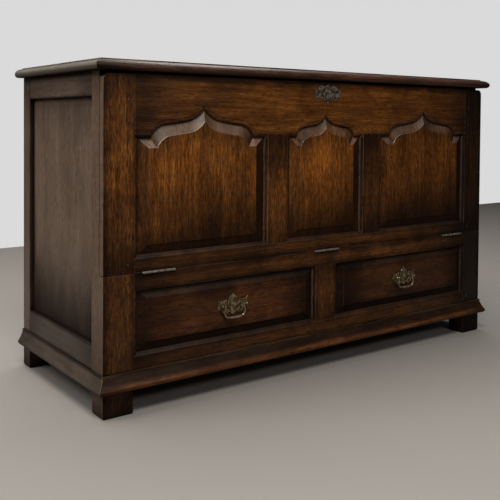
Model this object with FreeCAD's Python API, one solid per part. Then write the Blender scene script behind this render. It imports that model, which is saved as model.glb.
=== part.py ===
import FreeCAD, Part
import math
import os

# An oak mule chest: a joined carcass with a hinged lid, a panelled front that falls open on
# three butt hinges, and two drawers side by side in the base.
#
# While the pieces are shaped, X runs across the front with 0 in the middle, Y runs back from
# the front face of the chest, and Z runs up from the floor.  save() then moves every piece by
# CENTRE_Y, so that the origin lies on the floor under the middle of the whole chest.

os.makedirs("parts", exist_ok=True)
Vec = FreeCAD.Vector

# ---------------------------------------------------------------- driving dimensions, mm

# carcass
CARCASS_W = 1400.0
CARCASS_D = 520.0
POST_W = 92.5               # width of a corner post on the front, its moulded edge included
FRONT_POST_D = 63.0
REAR_POST_D = 50.0
FOOT_W = 80.0
FOOT_EASE = 4.0             # the feet are this much less deep than the posts
FOOT_CHAMFER = 4.0
RAIL_D = 35.0               # front to back, of the rails in the front frame
SIDE_RAIL_T = 28.0
SIDE_TOP_RAIL_H = 60.0
SIDE_SILL_Z = 168.0         # top of the side's bottom rail
RAIL_FOOT_CLEAR = 3.0       # the bottom rails stop short of the moulding's lower edge
SIDE_PANEL_RECESS = 12.0
SIDE_PANEL_T = 9.0
TENON_L = 26.0
TENON_T = 10.0
TENON_SHOULDER = 12.0
STICK_W = 9.5               # moulded edge up the sides of the openings: across the face
STICK_D = 8.5               # and into the thickness
CHAMFER_H = 9.0             # chamfer on the sills of the openings
CHAMFER_D = 8.0

# heights, stacked from the floor
FOOT_H = 63.5
SILL_ABOVE_MOULDING = 41.0
DRAWER_OPENING_H = 150.0
MID_RAIL_H = 43.0
FALL_H = 479.0
LID_GAP = 7.0               # shadow line between the fall and the lid
LID_T = 28.0

# drawer division
DRAWER_MUNTIN_W = 93.0      # between the drawers, its moulded edges included

# front top rail behind the fall, and the back
INNER_RAIL_H = 46.0
BACK_RAIL_D = 28.0
BACK_BOARD_T = 14.0
BACK_BOARD_COUNT = 4
BACK_BOARD_GAP = 1.0
BACK_BOARD_FOOT_Z = 90.0
BACK_REBATE_W = 59.0        # how far the back boards lap onto the rear posts

# floor of the chest, and what carries it and the drawers
FLOOR_T = 18.0
FLOOR_BOARD_COUNT = 3
FLOOR_BOARD_GAP = 0.6
FLOOR_NOTCH_GAP = 1.0
PANEL_FACE_GAP = 1.0        # between the side panel and the boards beside it
BEARER_W = 78.0
CENTRE_BEARER_W = 70.0
RUNNER_T = 22.0
RUNNER_W = 52.0
CENTRE_RUNNER_W = 180.0
GUIDE_W = 34.0
GUIDE_H = 18.0

# base moulding, from its foot up: a nose, a slight hollow and a bead
MOULDING_FOOT = 14.0        # how far it stands out at its foot
MOULDING_NOSE = 17.0        # at the fullest of the nose
MOULDING_NOSE_AT = 6.3      # height of the fullest point above the foot
MOULDING_NOSE_TOP = 15.5
MOULDING_NOSE_H = 11.0
MOULDING_HOLLOW_H = 28.0
MOULDING_SAG = 1.4          # depth of the hollow
MOULDING_NECK = 3.0
MOULDING_BEAD = 5.0
MOULDING_BEAD_H = 3.5

# fall front
FALL_T = 21.0
FALL_BACK_GAP = 1.5
FALL_FOOT_GAP = 1.0
FALL_CORNER_R = 15.0
FALL_BOTTOM_RAIL_H = 43.0
FALL_MUNTIN_W = 87.0        # between the panels, its moulded edges included
CENTRE_OPENING_W = 271.5
SHOULDER_DROP = 155.0       # from the top of the fall to the shoulders of its arches
SIDE_ARCH_HALF = 156.0      # half the span of the arches over the outer panels
SIDE_ARCH_RISE = 72.0
CENTRE_ARCH_HALF = 110.5
CENTRE_ARCH_RISE = 57.0
ARCH_SPREAD = 0.85          # how much an arch widens for each mm that its outline is spread
FALL_TENON_T = 7.0
FALL_TENON_Y = 7.0
SAW_CUT_H = 12.5            # the saw ran on past the point of the left arch
SAW_CUT_W = 4.0
GROOVE_D = 8.0
TONGUE_Y = 12.5
TONGUE_T = 5.0
FIELD_Y = 2.5               # how far the raised fields lie behind the face
FIELD_STEP = 1.5
FIELD_SIDE = 29.0
FIELD_FOOT = 22.0
FIELD_HEAD = 23.0
FIELD_ARCH_EASE = 17.0      # a field's arch is this much less in its half span
FIELD_RISE_EASE = 6.0       # and in its rise than the arch over it

# hinges, all of one pattern
HINGE_L = 90.0
HINGE_INSET = 20.0          # from the moulded edge to the outer hinges
KNUCKLE_R = 3.3
KNUCKLE_COUNT = 5
KNUCKLE_GAP = 0.3
PIN_R = 1.5
PIN_CLEARANCE = 0.05
PIN_END = 1.5
LEAF_T = 1.6
LEAF_GAP = 0.6
LEAF_REACH = 22.0

# lid
LID_SIDE_OVERHANG = 25.5
LID_FRONT_OVERHANG = 15.5
LID_REAR_OVERHANG = 2.0
LID_SEAT = 0.3
LID_FRONT_BOARD_D = 262.0
LID_NOSE_R = 10.0           # rounding of its lower edge
LID_THUMB_W = 22.0          # thumbnail moulding above it: how far in it runs
LID_THUMB_H = 15.0

# drawers
DRAWER_SIDE_GAP = 1.5
DRAWER_TOP_GAP = 1.7
DRAWER_BACK_GAP = 2.0
RUN_CLEARANCE = 0.3
DRAWER_FRONT_T = 22.0
DRAWER_FACE_Y = 1.5
DRAWER_FIELD_STEP = 1.5
DRAWER_BEVEL_D = 5.5
DRAWER_FIELD_SIDE = 25.0
DRAWER_FIELD_TOP = 21.0
DRAWER_SIDE_T = 12.0
DRAWER_SIDE_DROP = 5.0      # the sides are this much lower than the front
DRAWER_BOTTOM_T = 8.0
DRAWER_BOTTOM_LIFT = 8.0
DRAWER_GROOVE_D = 5.0
TAIL_COUNT = 3
TAIL_NECK = 20.0
TAIL_END = 27.0
TAIL_L = 10.0

# handles: a willow plate, two turned posts and a swan-neck bail
PLATE_W = 98.0
PLATE_TOP = 31.0            # tip of the dome above the posts
PLATE_FOOT = 25.0           # lower tip below the posts
PLATE_T = 1.6
POST_SPACING = 76.0
POST_LIFT = 5.0             # posts above the middle of the drawer front
POST_BALL_R = 5.2
POST_BALL_OUT = 9.5         # ball centre in front of the plate
POST_NECK_R = 2.8
POST_FLANGE_R = 6.0
POST_FLANGE_T = 1.4
POST_SHANK_R = 2.5
POST_SHANK_END = 5.0        # shank showing inside the drawer
NUT_W = 10.0
NUT_T = 3.0
BAIL_R = 2.3
BAIL_PIN_R = 1.8
BAIL_PIN_CLEARANCE = 0.06
BAIL_DROP = 31.0
BAIL_ARM_GAP = 0.5
BAIL_BOW = 4.0              # how far the arms bow out below the posts
BAIL_NECK_AT = 0.26         # where they start to bow, as a share of the drop
BAIL_BOW_AT = 0.52          # where they are widest
BAIL_TUCK_AT = 0.92         # where they turn in to the grip
BAIL_TUCK = 0.80            # how wide they are there, as a share of the widest
BAIL_NECK_BEND = 5.5        # radii of those bends
BAIL_BOW_BEND = 9.2
BAIL_TUCK_BEND = 7.4
BAIL_GRIP_R = 3.5
BAIL_GRIP_L = 26.0

# escutcheon and lock
KEYHOLE_DROP = 30.0         # from the top of the fall
KEYHOLE_R = 3.4
KEYHOLE_SLOT_W = 3.0
KEYHOLE_SLOT_H = 10.0
LOCK_W = 68.0
LOCK_H = 60.0
LOCK_T = 10.0
SELVEDGE_W = 84.0
SELVEDGE_D = 14.0
SELVEDGE_T = 1.6
BOLT_W = 28.0
BOLT_T = 6.0
BOLT_H = 24.0
BOLT_TRAVEL = 12.0
BOLT_CLEARANCE = 0.3
STRIKE_W = 52.0
STRIKE_D = 20.0
STRIKE_T = 1.6
STRIKE_SLOT_CLEARANCE = 1.5
BOLT_HEADROOM = 3.3         # above the bolt when it is shot

# ---------------------------------------------------------------- places worked out from them

HALF_W = CARCASS_W / 2
OPENING_X = HALF_W - POST_W                 # inner face of the corner posts
RAIL_END_X = OPENING_X + STICK_W            # where the front rails meet the posts and stiles
MOULDING_H = MOULDING_NOSE_H + MOULDING_HOLLOW_H + MOULDING_BEAD_H
MOULDING_TOP_Z = FOOT_H + MOULDING_H
SILL_Z = MOULDING_TOP_Z + SILL_ABOVE_MOULDING
OPENING_TOP_Z = SILL_Z + DRAWER_OPENING_H
MID_RAIL_Z = OPENING_TOP_Z + MID_RAIL_H
FALL_Z = MID_RAIL_Z + FALL_FOOT_GAP
FALL_TOP_Z = FALL_Z + FALL_H
LID_Z = FALL_TOP_Z + LID_GAP
LID_TOP_Z = LID_Z + LID_T
CARCASS_TOP_Z = LID_Z - LID_SEAT
BOTTOM_RAIL_Z = FOOT_H + RAIL_FOOT_CLEAR
REAR_POST_Y = CARCASS_D - REAR_POST_D
BOARD_Y = CARCASS_D - BACK_BOARD_T          # front of the back boards
BACK_RAIL_Y = BOARD_Y - BACK_RAIL_D
FALL_BACK_Y = FALL_T + FALL_BACK_GAP        # face of the posts behind the fall
BACK_BOARD_TOP_Z = CARCASS_TOP_Z - INNER_RAIL_H
FLOOR_X = HALF_W - SIDE_PANEL_RECESS - SIDE_PANEL_T - PANEL_FACE_GAP
FLOOR_Z = MID_RAIL_Z - FLOOR_T
SHOULDER_Z = FALL_TOP_Z - SHOULDER_DROP
FALL_SILL_Z = FALL_Z + FALL_BOTTOM_RAIL_H
MUNTIN_X = CENTRE_OPENING_W / 2 + FALL_MUNTIN_W / 2
SIDE_OPENING_W = OPENING_X - CENTRE_OPENING_W / 2 - FALL_MUNTIN_W
SIDE_PANEL_X = OPENING_X - SIDE_OPENING_W / 2

HINGE_X = RAIL_END_X - HINGE_INSET - HINGE_L / 2
HINGE_XS = (-HINGE_X, 0.0, HINGE_X)
BARREL_CLEAR = KNUCKLE_R + KNUCKLE_GAP
FALL_HINGE_Y = -BARREL_CLEAR
FALL_HINGE_Z = MID_RAIL_Z + FALL_FOOT_GAP / 2
LID_HINGE_Y = CARCASS_D + LID_REAR_OVERHANG + BARREL_CLEAR
LID_HINGE_Z = LID_Z - LID_SEAT / 2

DRAWER_MUNTIN_X = DRAWER_MUNTIN_W / 2
DRAWER_X = (OPENING_X + DRAWER_MUNTIN_X) / 2
DRAWER_W = OPENING_X - DRAWER_MUNTIN_X - 2 * DRAWER_SIDE_GAP
DRAWER_Z = SILL_Z + RUN_CLEARANCE
DRAWER_H = DRAWER_OPENING_H - RUN_CLEARANCE - DRAWER_TOP_GAP
DRAWER_END_Y = BOARD_Y - DRAWER_BACK_GAP
DRAWER_FRONT_END_Y = DRAWER_FACE_Y + DRAWER_FRONT_T
HANDLE_Z = DRAWER_Z + DRAWER_H / 2 + POST_LIFT
BAIL_Y = DRAWER_FACE_Y - PLATE_T - POST_BALL_OUT
BAIL_ARM_X = POST_SPACING / 2 - POST_BALL_R - BAIL_ARM_GAP - BAIL_R

KEYHOLE_Z = FALL_TOP_Z - KEYHOLE_DROP
LOCK_Y = FALL_T - LOCK_T
BOLT_Y = FALL_T - LOCK_T / 2 - BOLT_T / 2
BOLT_TOP_Z = FALL_TOP_Z - BOLT_CLEARANCE

FRONT_REACH = max(LID_FRONT_OVERHANG, MOULDING_NOSE, -FALL_HINGE_Y + KNUCKLE_R,
                  -BAIL_Y + POST_BALL_R)
REAR_REACH = LID_HINGE_Y + KNUCKLE_R
CENTRE_Y = (FRONT_REACH - REAR_REACH) / 2   # where the front face lies in the finished model
THROUGH = 1.0                               # how far a cutting tool stands proud


# ---------------------------------------------------------------- helpers

def block(x0, x1, y0, y1, z0, z1):
    return Part.makeBox(x1 - x0, y1 - y0, z1 - z0, Vec(x0, y0, z0))


def mirrored(shape):
    """The same piece on the other side of the chest."""
    return shape.mirror(Vec(0, 0, 0), Vec(1, 0, 0))


def joined(shapes):
    return shapes[0].fuse(shapes[1:]).removeSplitter()


def cut_by(shape, tools):
    for tool in tools:
        if shape.BoundBox.intersect(tool.BoundBox):
            shape = shape.cut(tool)
    return shape


def extruded(points, direction):
    """A prism on a closed polygon of points."""
    return Part.Face(Part.makePolygon(points + points[:1])).extrude(direction)


def edges_where(shape, test):
    return [edge for edge in shape.Edges if test(edge.BoundBox)]


def flat_at(low, high, value):
    """Whether a box lies wholly at one value along an axis."""
    return abs(low - value) < 1e-4 and abs(high - value) < 1e-4


def rectangle(x0, x1, z0, z1, y):
    corners = [Vec(x0, y, z0), Vec(x1, y, z0), Vec(x1, y, z1), Vec(x0, y, z1)]
    return Part.makePolygon(corners + corners[:1])


def line(start, end):
    return Part.LineSegment(start, end).toShape()


def arc(start, middle, end):
    return Part.Arc(start, middle, end).toShape()


# section of the moulded edge round the openings, a quirked ovolo, from the face inwards: the
# share of its width that is left, and the share of its depth
OVOLO = [(1, 0.14), (0.58, 0.24), (0.21, 0.54), (0, 1)]


def sticking(outline, x0, x1, sill_z, top_z):
    """Cutter for the moulded edge of an opening, mitred into the plain chamfer on its sill.
    outline(spread, y) gives the opening's outline, spread all round, at one depth."""
    sections = [outline(STICK_W, -THROUGH)]
    sections += [outline(width * STICK_W, depth * STICK_D) for width, depth in OVOLO]
    edge = joined([Part.makeLoft(list(pair), True, True) for pair in zip(sections, sections[1:])])
    behind = STICK_D + THROUGH
    chamfer_z = sill_z - CHAMFER_H * (CHAMFER_D + THROUGH) / CHAMFER_D
    section = [(-THROUGH, chamfer_z), (CHAMFER_D, sill_z), (behind, sill_z), (behind, top_z),
               (-THROUGH, top_z)]
    above_sill = extruded([Vec(x0 - 2 * STICK_W, y, z) for y, z in section], Vec(x1 - x0 + 4 * STICK_W, 0, 0))
    return edge.common(above_sill)


def rail_x(x_end, y0, depth, z0, z1, tenon_y, tenon_t=TENON_T):
    """A rail across the chest, from -x_end to x_end, with a tenon on each end."""
    body = block(-x_end, x_end, y0, y0 + depth, z0, z1)
    tenon = block(-x_end - TENON_L, x_end + TENON_L, tenon_y, tenon_y + tenon_t,
                  z0 + TENON_SHOULDER, z1 - TENON_SHOULDER)
    return joined([body, tenon])


# ---------------------------------------------------------------- hinges

def knuckle_shape(index):
    """One knuckle of a barrel on the X axis, and the x where it starts and ends."""
    pitch = HINGE_L / KNUCKLE_COUNT
    x0 = -HINGE_L / 2 + index * pitch + KNUCKLE_GAP / 2
    return x0, x0 + pitch - KNUCKLE_GAP


def hinge_leaf(up, toward, x, y, z):
    """A leaf with its knuckles.  up is 1 for the upper leaf, -1 for the lower; toward is 1
    where the leaf runs back from the barrel, -1 where it runs forward."""
    leaf = block(-HINGE_L / 2, HINGE_L / 2, BARREL_CLEAR, LEAF_REACH, LEAF_GAP / 2, LEAF_GAP / 2 + LEAF_T)
    pieces = [leaf]
    for index in range(0 if up < 0 else 1, KNUCKLE_COUNT, 2):
        x0, x1 = knuckle_shape(index)
        pieces.append(block(x0, x1, 0, BARREL_CLEAR, LEAF_GAP / 2, LEAF_GAP / 2 + LEAF_T))
        pieces.append(Part.makeCylinder(KNUCKLE_R, x1 - x0, Vec(x0, 0, 0), Vec(1, 0, 0)))
    shape = joined(pieces)
    bore = Part.makeCylinder(PIN_R + PIN_CLEARANCE, HINGE_L, Vec(-HINGE_L / 2, 0, 0), Vec(1, 0, 0))
    shape = shape.cut(bore)
    if up < 0:
        shape = shape.mirror(Vec(0, 0, 0), Vec(0, 0, 1))
    if toward < 0:
        shape = shape.mirror(Vec(0, 0, 0), Vec(0, 1, 0))
    shape.translate(Vec(x, y, z))
    return shape


def leaf_recess(up, toward, x, y, z):
    """The shallow housing in the wood that takes a leaf."""
    recess = block(-HINGE_L / 2, HINGE_L / 2, 0, LEAF_REACH, 0, LEAF_GAP / 2 + LEAF_T)
    if up < 0:
        recess = recess.mirror(Vec(0, 0, 0), Vec(0, 0, 1))
    if toward < 0:
        recess = recess.mirror(Vec(0, 0, 0), Vec(0, 1, 0))
    recess.translate(Vec(x, y, z))
    return recess


def hinge_pin(x, y, z):
    start = Vec(x - HINGE_L / 2 - PIN_END, y, z)
    return Part.makeCylinder(PIN_R, HINGE_L + 2 * PIN_END, start, Vec(1, 0, 0))


def hinge_set(up, lid):
    """Three leaves: of the lid's hinges, or of the fall's."""
    y, z, toward = (LID_HINGE_Y, LID_HINGE_Z, -1) if lid else (FALL_HINGE_Y, FALL_HINGE_Z, 1)
    leaves = [hinge_leaf(up, toward, x, y, z) for x in HINGE_XS]
    recesses = [leaf_recess(up, toward, x, y, z) for x in HINGE_XS]
    return leaves, recesses


# ---------------------------------------------------------------- carcass

def front_post():
    """The left front post, stepped back above the drawers to make room for the fall."""
    post = block(-HALF_W, -OPENING_X, 0, FRONT_POST_D, 0, CARCASS_TOP_Z)
    rebate = block(-HALF_W, -OPENING_X, 0, FALL_BACK_Y, MID_RAIL_Z, LID_Z)
    inner = block(-HALF_W + FOOT_W, -OPENING_X, 0, FRONT_POST_D, 0, BOTTOM_RAIL_Z)
    back = block(-HALF_W, -OPENING_X, FRONT_POST_D - FOOT_EASE, FRONT_POST_D, 0, FOOT_H)
    return worn_foot(cut_by(post, [rebate, inner, back]))


def rear_post():
    """The left rear post, rebated for the back boards."""
    post = block(-HALF_W, -OPENING_X, REAR_POST_Y, CARCASS_D, 0, CARCASS_TOP_Z)
    rebate = block(-OPENING_X - BACK_REBATE_W, -OPENING_X, BOARD_Y, CARCASS_D,
                   BACK_BOARD_FOOT_Z, BACK_BOARD_TOP_Z)
    inner = block(-HALF_W + FOOT_W, -OPENING_X, REAR_POST_Y, CARCASS_D, 0, FOOT_H)
    front = block(-HALF_W, -OPENING_X, REAR_POST_Y, REAR_POST_Y + FOOT_EASE, 0, FOOT_H)
    return worn_foot(cut_by(post, [rebate, inner, front]))


def worn_foot(post):
    """The lower edges of a foot, chamfered all round."""
    on_floor = edges_where(post, lambda box: flat_at(box.ZMin, box.ZMax, 0))
    return post.makeChamfer(FOOT_CHAMFER, on_floor)


def side_rail(z0, z1):
    """A rail of the left side, between the posts, with a tenon into each."""
    body = block(-HALF_W, -HALF_W + SIDE_RAIL_T, FRONT_POST_D, REAR_POST_Y, z0, z1)
    tenon_x = -HALF_W + (SIDE_RAIL_T - TENON_T) / 2
    tenon = block(tenon_x, tenon_x + TENON_T, FRONT_POST_D - TENON_L, REAR_POST_Y + TENON_L,
                  z0 + TENON_SHOULDER, z1 - TENON_SHOULDER)
    return joined([body, tenon])


def side_panel():
    """The flat panel of the left side, held in grooves all round."""
    x0 = -HALF_W + SIDE_PANEL_RECESS
    return block(x0, x0 + SIDE_PANEL_T, FRONT_POST_D - GROOVE_D, REAR_POST_Y + GROOVE_D,
                 SIDE_SILL_Z - GROOVE_D, CARCASS_TOP_Z - SIDE_TOP_RAIL_H + GROOVE_D)


def drawer_muntin():
    """The upright between the drawers, tenoned into the rails above and below.  Its face runs
    down over the chamfer of the lower rail."""
    body = block(-DRAWER_MUNTIN_X, DRAWER_MUNTIN_X, 0, RAIL_D, SILL_Z, OPENING_TOP_Z)
    face_x = DRAWER_MUNTIN_X - STICK_W
    face = block(-face_x, face_x, 0, STICK_D, SILL_Z - CHAMFER_H, SILL_Z)
    tenon_x = DRAWER_MUNTIN_X - TENON_SHOULDER
    tenon_y = (RAIL_D - TENON_T) / 2
    tenon_l = MID_RAIL_H / 2
    tenon = block(-tenon_x, tenon_x, tenon_y, tenon_y + TENON_T, SILL_Z - tenon_l, OPENING_TOP_Z + tenon_l)
    return joined([body, face, tenon])


def drawer_sticking():
    """Cutter for the moulded edge of the left drawer's opening, which has no head."""
    def outline(spread, y):
        return rectangle(-OPENING_X - spread, -DRAWER_MUNTIN_X + spread, BOTTOM_RAIL_Z, OPENING_TOP_Z, y)

    return sticking(outline, -OPENING_X, -DRAWER_MUNTIN_X, SILL_Z, OPENING_TOP_Z)


def back_boards():
    pitch = (BACK_BOARD_TOP_Z - BACK_BOARD_FOOT_Z + BACK_BOARD_GAP) / BACK_BOARD_COUNT
    half = OPENING_X + BACK_REBATE_W
    starts = [BACK_BOARD_FOOT_Z + index * pitch for index in range(BACK_BOARD_COUNT)]
    return [block(-half, half, BOARD_Y, CARCASS_D, z, z + pitch - BACK_BOARD_GAP) for z in starts]


def floor_boards():
    """Boards along the chest, notched round the corner posts."""
    pitch = (BACK_RAIL_Y - RAIL_D + FLOOR_BOARD_GAP) / FLOOR_BOARD_COUNT
    notch_x = OPENING_X - FLOOR_NOTCH_GAP
    front_y = FRONT_POST_D + FLOOR_NOTCH_GAP
    rear_y = REAR_POST_Y - FLOOR_NOTCH_GAP
    notches = [block(-HALF_W, -notch_x, 0, front_y, 0, LID_Z), block(notch_x, HALF_W, 0, front_y, 0, LID_Z),
               block(-HALF_W, -notch_x, rear_y, CARCASS_D, 0, LID_Z),
               block(notch_x, HALF_W, rear_y, CARCASS_D, 0, LID_Z)]
    boards = []
    for index in range(FLOOR_BOARD_COUNT):
        y0 = RAIL_D + index * pitch
        board = block(-FLOOR_X, FLOOR_X, y0, y0 + pitch - FLOOR_BOARD_GAP, FLOOR_Z, MID_RAIL_Z)
        boards.append(cut_by(board, notches))
    return boards


def floor_bearers():
    """Under the floor, over the drawers: one at each side and one in the middle."""
    left = block(-FLOOR_X, -FLOOR_X + BEARER_W, FRONT_POST_D, REAR_POST_Y, OPENING_TOP_Z, FLOOR_Z)
    centre = block(-CENTRE_BEARER_W / 2, CENTRE_BEARER_W / 2, RAIL_D, BACK_RAIL_Y, OPENING_TOP_Z, FLOOR_Z)
    return [left, centre, mirrored(left)]


def drawer_runners():
    """Runners that carry the drawers, each with the guide that keeps them straight."""
    outer_x = OPENING_X + GUIDE_W
    runner = block(-outer_x, -outer_x + RUNNER_W, FRONT_POST_D, REAR_POST_Y, SILL_Z - RUNNER_T, SILL_Z)
    guide = block(-outer_x, -OPENING_X, FRONT_POST_D, REAR_POST_Y, SILL_Z, SILL_Z + GUIDE_H)
    middle = block(-CENTRE_RUNNER_W / 2, CENTRE_RUNNER_W / 2, RAIL_D, BACK_RAIL_Y, SILL_Z - RUNNER_T, SILL_Z)
    middle_guide = block(-DRAWER_MUNTIN_X, DRAWER_MUNTIN_X, RAIL_D, BACK_RAIL_Y, SILL_Z, SILL_Z + GUIDE_H)
    return [runner, guide, middle, middle_guide, mirrored(runner), mirrored(guide)]


# ---------------------------------------------------------------- base moulding

def moulding_profile():
    """Its section, as projection and height."""
    nose_z = FOOT_H + MOULDING_NOSE_H
    neck_z = nose_z + MOULDING_HOLLOW_H
    hollow = (MOULDING_NOSE_TOP + MOULDING_NECK) / 2 - MOULDING_SAG

    def at(out, z):
        return Vec(0, -out, z)

    edges = [line(at(0, FOOT_H), at(MOULDING_FOOT, FOOT_H)),
             arc(at(MOULDING_FOOT, FOOT_H), at(MOULDING_NOSE, FOOT_H + MOULDING_NOSE_AT),
                 at(MOULDING_NOSE_TOP, nose_z)),
             arc(at(MOULDING_NOSE_TOP, nose_z), at(hollow, (nose_z + neck_z) / 2), at(MOULDING_NECK, neck_z)),
             arc(at(MOULDING_NECK, neck_z), at(MOULDING_BEAD, (neck_z + MOULDING_TOP_Z) / 2),
                 at(MOULDING_NECK, MOULDING_TOP_Z)),
             line(at(MOULDING_NECK, MOULDING_TOP_Z), at(0, MOULDING_TOP_Z)),
             line(at(0, MOULDING_TOP_Z), at(0, FOOT_H))]
    return Part.Face(Part.Wire(edges))


def moulding_front():
    """The length on the front, mitred at both ends."""
    reach = MOULDING_NOSE + THROUGH
    bar = moulding_profile()
    bar.translate(Vec(-HALF_W - reach, 0, 0))
    bar = bar.extrude(Vec(CARCASS_W + 2 * reach, 0, 0))
    plan = [Vec(-HALF_W - reach, -reach, FOOT_H), Vec(HALF_W + reach, -reach, FOOT_H),
            Vec(HALF_W, 0, FOOT_H), Vec(-HALF_W, 0, FOOT_H)]
    return bar.common(extruded(plan, Vec(0, 0, MOULDING_H)))


def moulding_side():
    """The length on the left side, mitred at its front end."""
    reach = MOULDING_NOSE + THROUGH
    bar = moulding_profile()
    bar.rotate(Vec(0, 0, 0), Vec(0, 0, 1), -90)
    bar.translate(Vec(-HALF_W, -reach, 0))
    bar = bar.extrude(Vec(0, CARCASS_D + reach, 0))
    plan = [Vec(-HALF_W - reach, -reach, FOOT_H), Vec(-HALF_W, 0, FOOT_H),
            Vec(-HALF_W, CARCASS_D, FOOT_H), Vec(-HALF_W - reach, CARCASS_D, FOOT_H)]
    return bar.common(extruded(plan, Vec(0, 0, MOULDING_H)))


# ---------------------------------------------------------------- fall front

# arcs of the right half of an ogee arch, from its springing up to its point, each by its start,
# middle and end: the share of the half span and the share of the rise
OGEE_HAUNCH = [(1, 0), (0.90, 0.29), (0.68, 0.46)]
OGEE_FLANK = [(0.68, 0.46), (0.47, 0.52), (0.28, 0.59)]
OGEE_POINT = [(0.28, 0.59), (0.12, 0.75), (0, 1)]


def arch_outline(x, half_w, half_arch, z0, shoulder_z, rise, y):
    """The outline of an opening or panel with an ogee-arched head, at one depth."""
    edges = [line(Vec(x - half_w, y, z0), Vec(x + half_w, y, z0))]
    for side in (-1, 1):
        foot = Vec(x + side * half_w, y, z0)
        corner = Vec(x + side * half_w, y, shoulder_z)
        edges += [line(foot, corner), line(corner, Vec(x + side * half_arch, y, shoulder_z))]
        for run in (OGEE_HAUNCH, OGEE_FLANK, OGEE_POINT):
            points = [Vec(x + side * across * half_arch, y, shoulder_z + up * rise) for across, up in run]
            edges.append(arc(*points))
    return Part.Wire(Part.__sortEdges__(edges))


def fall_openings():
    """x, half width, half span of the arch and its rise, for the three openings from left to right."""
    side = (SIDE_OPENING_W / 2, SIDE_ARCH_HALF, SIDE_ARCH_RISE)
    centre = (CENTRE_OPENING_W / 2, CENTRE_ARCH_HALF, CENTRE_ARCH_RISE)
    return [(-SIDE_PANEL_X,) + side, (0.0,) + centre, (SIDE_PANEL_X,) + side]


def opening_outline(opening, spread, z0, y):
    """The outline of one of the fall's openings, spread over its sides and head."""
    x, half_w, half_arch, rise = opening
    arch_spread = ARCH_SPREAD * spread
    return arch_outline(x, half_w + spread, half_arch + arch_spread, z0, SHOULDER_Z + spread,
                        rise + arch_spread, y)


def fall_sticking(opening):
    """Cutter for the moulded edge of one of the fall's openings."""
    x, half_w = opening[:2]

    def outline(spread, y):
        return opening_outline(opening, spread, FALL_Z, y)

    return sticking(outline, x - half_w, x + half_w, FALL_SILL_Z, FALL_TOP_Z)


def fielded_panel(opening):
    """A raised and fielded panel: a tongue all round, a bevel, and a raised field."""
    x, half_w, half_arch, rise = opening
    tongue = opening_outline(opening, GROOVE_D, FALL_SILL_Z - GROOVE_D, TONGUE_Y)
    field_size = (x, half_w - FIELD_SIDE, half_arch - FIELD_ARCH_EASE, FALL_SILL_Z + FIELD_FOOT,
                  SHOULDER_Z - FIELD_HEAD, rise - FIELD_RISE_EASE)
    step = arch_outline(*field_size, FIELD_Y + FIELD_STEP)
    field = arch_outline(*field_size, FIELD_Y)
    board = Part.Face(tongue).extrude(Vec(0, TONGUE_T, 0))
    bevel = Part.makeLoft([step, tongue], True, True)
    raised = Part.Face(field).extrude(Vec(0, FIELD_STEP, 0))
    return joined([board, bevel, raised])


def saw_cut():
    """The cut that the saw left past the point of the left arch."""
    half = SAW_CUT_W / 2
    foot_z = SHOULDER_Z + SIDE_ARCH_RISE - half
    arris_z = SHOULDER_Z + SIDE_ARCH_RISE + (1 + ARCH_SPREAD) * STICK_W
    outline = [(-half, foot_z), (half, foot_z), (half, arris_z), (0, arris_z + SAW_CUT_H), (-half, arris_z)]
    return extruded([Vec(-SIDE_PANEL_X + x, -THROUGH, z) for x, z in outline], Vec(0, TONGUE_Y + THROUGH, 0))


def fall_top_rail():
    """The deep top rail, its lower edge sawn to three ogee arches, housed for the lock."""
    rail = rail_x(RAIL_END_X, 0, FALL_T, SHOULDER_Z, FALL_TOP_Z, FALL_TENON_Y, FALL_TENON_T)
    for opening in fall_openings():
        arch = opening_outline(opening, 0, FALL_SILL_Z, -THROUGH)
        rail = rail.cut(Part.Face(arch).extrude(Vec(0, FALL_T + 2 * THROUGH, 0)))
    return cut_by(rail, [saw_cut(), lock_case_blank(), keyhole(-THROUGH, LOCK_Y + THROUGH)])


def fall_stile():
    """The left stile, with its top outer corner rounded."""
    stile = block(-HALF_W, -OPENING_X, 0, FALL_T, FALL_Z, FALL_TOP_Z)

    def top_outer(box):
        return flat_at(box.ZMin, box.ZMax, FALL_TOP_Z) and flat_at(box.XMin, box.XMax, -HALF_W)

    return stile.makeFillet(FALL_CORNER_R, edges_where(stile, top_outer))


def fall_muntin():
    """The left muntin, tenoned into the rails above and below.  Its face runs on over the
    chamfer of the lower rail and the moulded edge of the upper one."""
    half = FALL_MUNTIN_W / 2
    face = half - STICK_W
    tenon = half - TENON_SHOULDER
    body = block(-half, half, 0, FALL_T, FALL_SILL_Z, SHOULDER_Z)
    front = block(-face, face, 0, STICK_D, FALL_SILL_Z - CHAMFER_H, SHOULDER_Z + STICK_W)
    tenons = block(-tenon, tenon, FALL_TENON_Y, FALL_TENON_Y + FALL_TENON_T, FALL_SILL_Z - TENON_L,
                   SHOULDER_Z + TENON_L)
    muntin = joined([body, front, tenons])
    muntin.translate(Vec(-MUNTIN_X, 0, 0))
    return muntin


# ---------------------------------------------------------------- brass plates

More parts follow.
